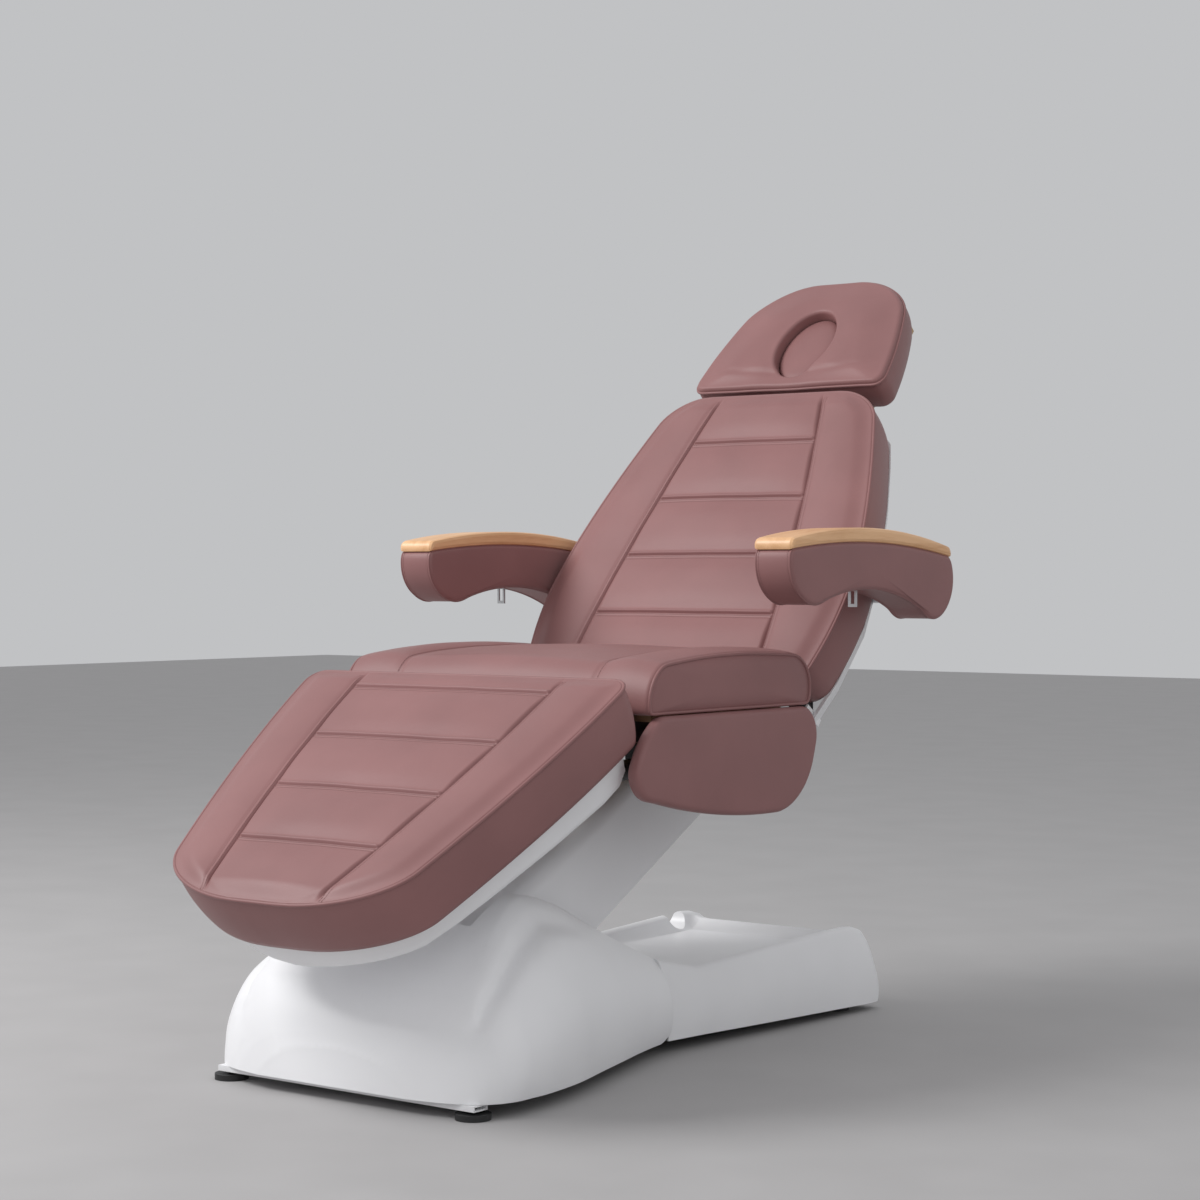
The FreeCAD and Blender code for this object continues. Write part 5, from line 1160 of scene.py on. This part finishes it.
class SeatForm:
    """The seat from its side: waterfall front, crowned top, and a rear drawn in under the back."""

    front = -338.0
    rear = 96.0
    low = 135.3
    top = 221.3
    side = 310.0
    stitch = 200.0
    lean = 38.0
    rear_fall = 2.0
    front_fall = 8.0
    rear_bow = 23.0
    top_bow = 9.0
    front_bow = 15.5
    # Points along the base, rear, top and front of a slice
    counts = (80, 18, 70, 24)
    slices = 150
    stand = 1.0
    crown = 6.0
    bolster = 6.5
    bolster_power = 0.8
    seam_folds = ((2.4, 0.0, 2.6), (1.0, 9.0, 2.4))
    side_round = 6.0
    side_share = 0.6
    soft_passes = 4
    lump = 0.8
    lump_size = 70.0
    lump_from = 20.0
    side_dome = 7.0
    stitch_from = 22.0
    piping_proud = 0.8

    def profile(self, rise):
        """Points round one slice, as along and out."""
        top = self.top + rise
        corners = [
            (self.front, self.low, 0),
            (self.rear, self.low, self.rear_bow),
            (self.rear - self.lean, top - self.rear_fall, self.top_bow),
            (self.front + self.lean, top - self.front_fall, self.front_bow),
        ]
        return outline(corners, self.counts)

    def slice(self, x):
        """One slice with its crown, seams and a little unevenness."""
        far = abs(x)
        if far < self.stitch:
            rise = self.stand + self.crown * (1 - (far / self.stitch) ** 2)
        else:
            share = (far - self.stitch) / (self.side - self.stitch)
            rise = self.stand + self.bolster * math.sin(math.pi * min(share, 1)) ** self.bolster_power - share
        drawn = round_drop(self.side - far, self.side_round) * self.side_share
        drawn += ridges(far - self.stitch, self.seam_folds)
        eased = []
        for spot in inset(softened(self.profile(rise), self.soft_passes), drawn):
            if spot.y > self.low + self.lump_from:
                place = Vector((x, spot.x, spot.y)) / self.lump_size
                spot = spot + Vector((0, self.lump * noise.noise(place)))
            eased.append(spot)
        return eased


class BED_OT_seat_cushion(bpy.types.Operator):
    """Seat cushion with side panels, piping and stitches"""
    bl_idname = "bed.seat_cushion"
    bl_label = "Seat cushion"

    def execute(self, context):
        form = SeatForm()
        node = "seat_cushion"
        bm = bmesh.new()
        places = [form.side * (2 * index / form.slices - 1) for index in range(form.slices + 1)]
        loops = [(x, form.slice(x)) for x in places]
        rings = [[bm.verts.new(SEAT.point(x, *spot)) for spot in loop] for x, loop in loops]
        bridge(bm, rings)
        ends = ((*loops[0], rings[0], "right", -1), (*loops[-1], rings[-1], "left", 1))
        for x, loop, ring, _, way in ends:
            domed_cap(bm, SEAT, ring, loop, middle_of(loop), x, way * form.side_dome, steps=16, power=4)
        piece = finished(bm, "seat_leather", BODY_OF[node])
        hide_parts(node)
        for x, loop, _, label, _ in ends:
            path = [SEAT.point(x, *spot) for spot in inset(loop, -form.piping_proud)]
            cord("seat_leather_piping_" + label, path, sewing().piping_radius, ACROSS, BODY_OF[node])
        paths = []
        for side in (-1, 1):
            for beside in STITCH_BESIDE:
                x = side * (form.stitch + beside)
                sewn = [spot for spot in inset(form.slice(x), -STITCH_LIFT)
                        if spot.y > form.low + form.stitch_from]
                paths.append([SEAT.point(x, *spot) for spot in sewn])
        stitches("seat_leather_stitches", paths, BODY_OF[node])
        return {"FINISHED"}


# Hard parts

SKIN_WELD = 0.01 * MM
SHARP_ANGLE = math.radians(28)


def moulded_group():
    """Node group that shades a moulded part as one skin and keeps its sharp edges."""
    group, start, end = node_group(
        "Moulded Skin", "GeometryNodeTree", {"Geometry": GEOMETRY, "Angle": FLOAT}, {"Geometry": GEOMETRY})
    add = group.nodes.new
    weld = add("GeometryNodeMergeByDistance")
    preset(weld, {"Distance": SKIN_WELD})
    bare = add("GeometryNodeRemoveAttribute")
    preset(bare, {"Name": "custom_normal"})
    soft = add("GeometryNodeSetShadeSmooth")
    bend = add("GeometryNodeInputMeshEdgeAngle")
    sharp = add("FunctionNodeCompare")
    sharp.operation = "GREATER_THAN"
    crisp = add("GeometryNodeSetShadeSmooth")
    crisp.domain = "EDGE"
    preset(crisp, {"Shade Smooth": False})
    wire(group,
         (start, "Geometry", weld, "Geometry"),
         (weld, "Geometry", bare, "Geometry"),
         (bare, "Geometry", soft, "Geometry"),
         (soft, "Geometry", crisp, "Geometry"),
         (bend, "Unsigned Angle", sharp, "A"),
         (start, "Angle", sharp, "B"),
         (sharp, "Result", crisp, "Selection"),
         (crisp, "Geometry", end, "Geometry"))
    return group


class BED_OT_hard_parts(bpy.types.Operator):
    """Finishes for the covers, frame, pins, feet and wood"""
    bl_idname = "bed.hard_parts"
    bl_label = "Hard parts"

    def execute(self, context):
        for slot, finish in hard_materials().items():
            for node in SLOT_NODES[slot]:
                mesh = frame["nodes"][node].data
                mesh.materials.clear()
                mesh.materials.append(finish)
        skin = moulded_group()
        angle = next(item for item in skin.interface.items_tree if item.name == "Angle")
        for node in SLOT_NODES["white_plastic"]:
            modifier = frame["nodes"][node].modifiers.new("Moulded skin", "NODES")
            modifier.node_group = skin
            modifier[angle.identifier] = SHARP_ANGLE
        return {"FINISHED"}


# Stage, in metres

FLOOR_REACH = 14.0
# Each light's name, place, size and power
LIGHTS = (("key", (-2.6, -2.6, 3.6), 2.4, 155), ("fill", (3.4, -1.4, 2.4), 3.0, 12))
LIGHT_TARGET = Vector((0, 0, 0.6))
CAMERA_LENS = 78
CAMERA_SENSOR = 36
CAMERA_PLACE = (2.6262, -3.3917, 0.7756)
CAMERA_DIP = 0.65
CAMERA_HEADING = 37.699


class BED_OT_stage(bpy.types.Operator):
    """Pale floor, soft light and the camera at the photo's angle"""
    bl_idname = "bed.stage"
    bl_label = "Stage"

    def execute(self, context):
        scene = context.scene
        self.floor(scene)
        for light in LIGHTS:
            self.light(scene, *light)
        world = bpy.data.worlds.new("Studio")
        world.use_nodes = True
        preset(world.node_tree.nodes["Background"], {"Color": (0.92, 0.93, 0.95, 1.0), "Strength": 0.58})
        scene.world = world
        camera = bpy.data.objects.new("camera", bpy.data.cameras.new("camera"))
        camera.data.lens = CAMERA_LENS
        camera.data.sensor_width = CAMERA_SENSOR
        camera.location = CAMERA_PLACE
        camera.rotation_euler = (math.radians(90 - CAMERA_DIP), 0, math.radians(CAMERA_HEADING))
        scene.collection.objects.link(camera)
        scene.camera = camera
        scene.view_settings.view_transform = "Standard"
        return {"FINISHED"}

    def floor(self, scene):
        bm = bmesh.new()
        corners = ((-1, -1), (1, -1), (1, 1), (-1, 1))
        bm.faces.new([bm.verts.new((x * FLOOR_REACH, y * FLOOR_REACH, 0)) for x, y in corners])
        mesh = bpy.data.meshes.new("floor")
        bm.to_mesh(mesh)
        bm.free()
        finish = hard_material("Pale Floor", colours().floor, roughness=0.7, strength=0.1, scale=120.0)
        mesh.materials.append(finish)
        ground = bpy.data.objects.new("floor", mesh)
        scene.collection.objects.link(ground)

    def light(self, scene, name, place, size, power):
        lamp = bpy.data.lights.new(name, "AREA")
        lamp.shape = "DISK"
        lamp.size = size
        lamp.energy = power
        holder = bpy.data.objects.new(name, lamp)
        holder.location = place
        aim = LIGHT_TARGET - Vector(place)
        holder.rotation_euler = aim.to_track_quat("-Z", "Y").to_euler()
        scene.collection.objects.link(holder)


class BED_PT_panel(bpy.types.Panel):
    """Lists the pieces and the settings"""
    bl_label = "Beauty Bed"
    bl_idname = "BED_PT_panel"
    bl_space_type = "VIEW_3D"
    bl_region_type = "UI"
    bl_category = "Beauty Bed"

    def draw(self, context):
        for operator in OPERATORS:
            self.layout.operator(operator.bl_idname)
        for settings in (context.scene.bed_sewing, context.scene.bed_colours):
            for name in settings.__annotations__:
                self.layout.prop(settings, name)


OPERATORS = (
    BED_OT_leg_cushion, BED_OT_seat_cushion, BED_OT_back_cushion, BED_OT_head_cushion,
    BED_OT_side_skirts, BED_OT_armrest_pads, BED_OT_hard_parts, BED_OT_stage,
)
CLASSES = (BedSewing, BedColours) + OPERATORS + (BED_PT_panel,)


def register():
    for cls in CLASSES:
        bpy.utils.register_class(cls)
    bpy.types.Scene.bed_sewing = bpy.props.PointerProperty(type=BedSewing)
    bpy.types.Scene.bed_colours = bpy.props.PointerProperty(type=BedColours)


def unregister():
    del bpy.types.Scene.bed_colours
    del bpy.types.Scene.bed_sewing
    for cls in reversed(CLASSES):
        bpy.utils.unregister_class(cls)


def main():
    register()
    for operator in OPERATORS:
        getattr(bpy.ops.bed, operator.bl_idname.split(".")[1])()


if __name__ == "__main__":
    main()
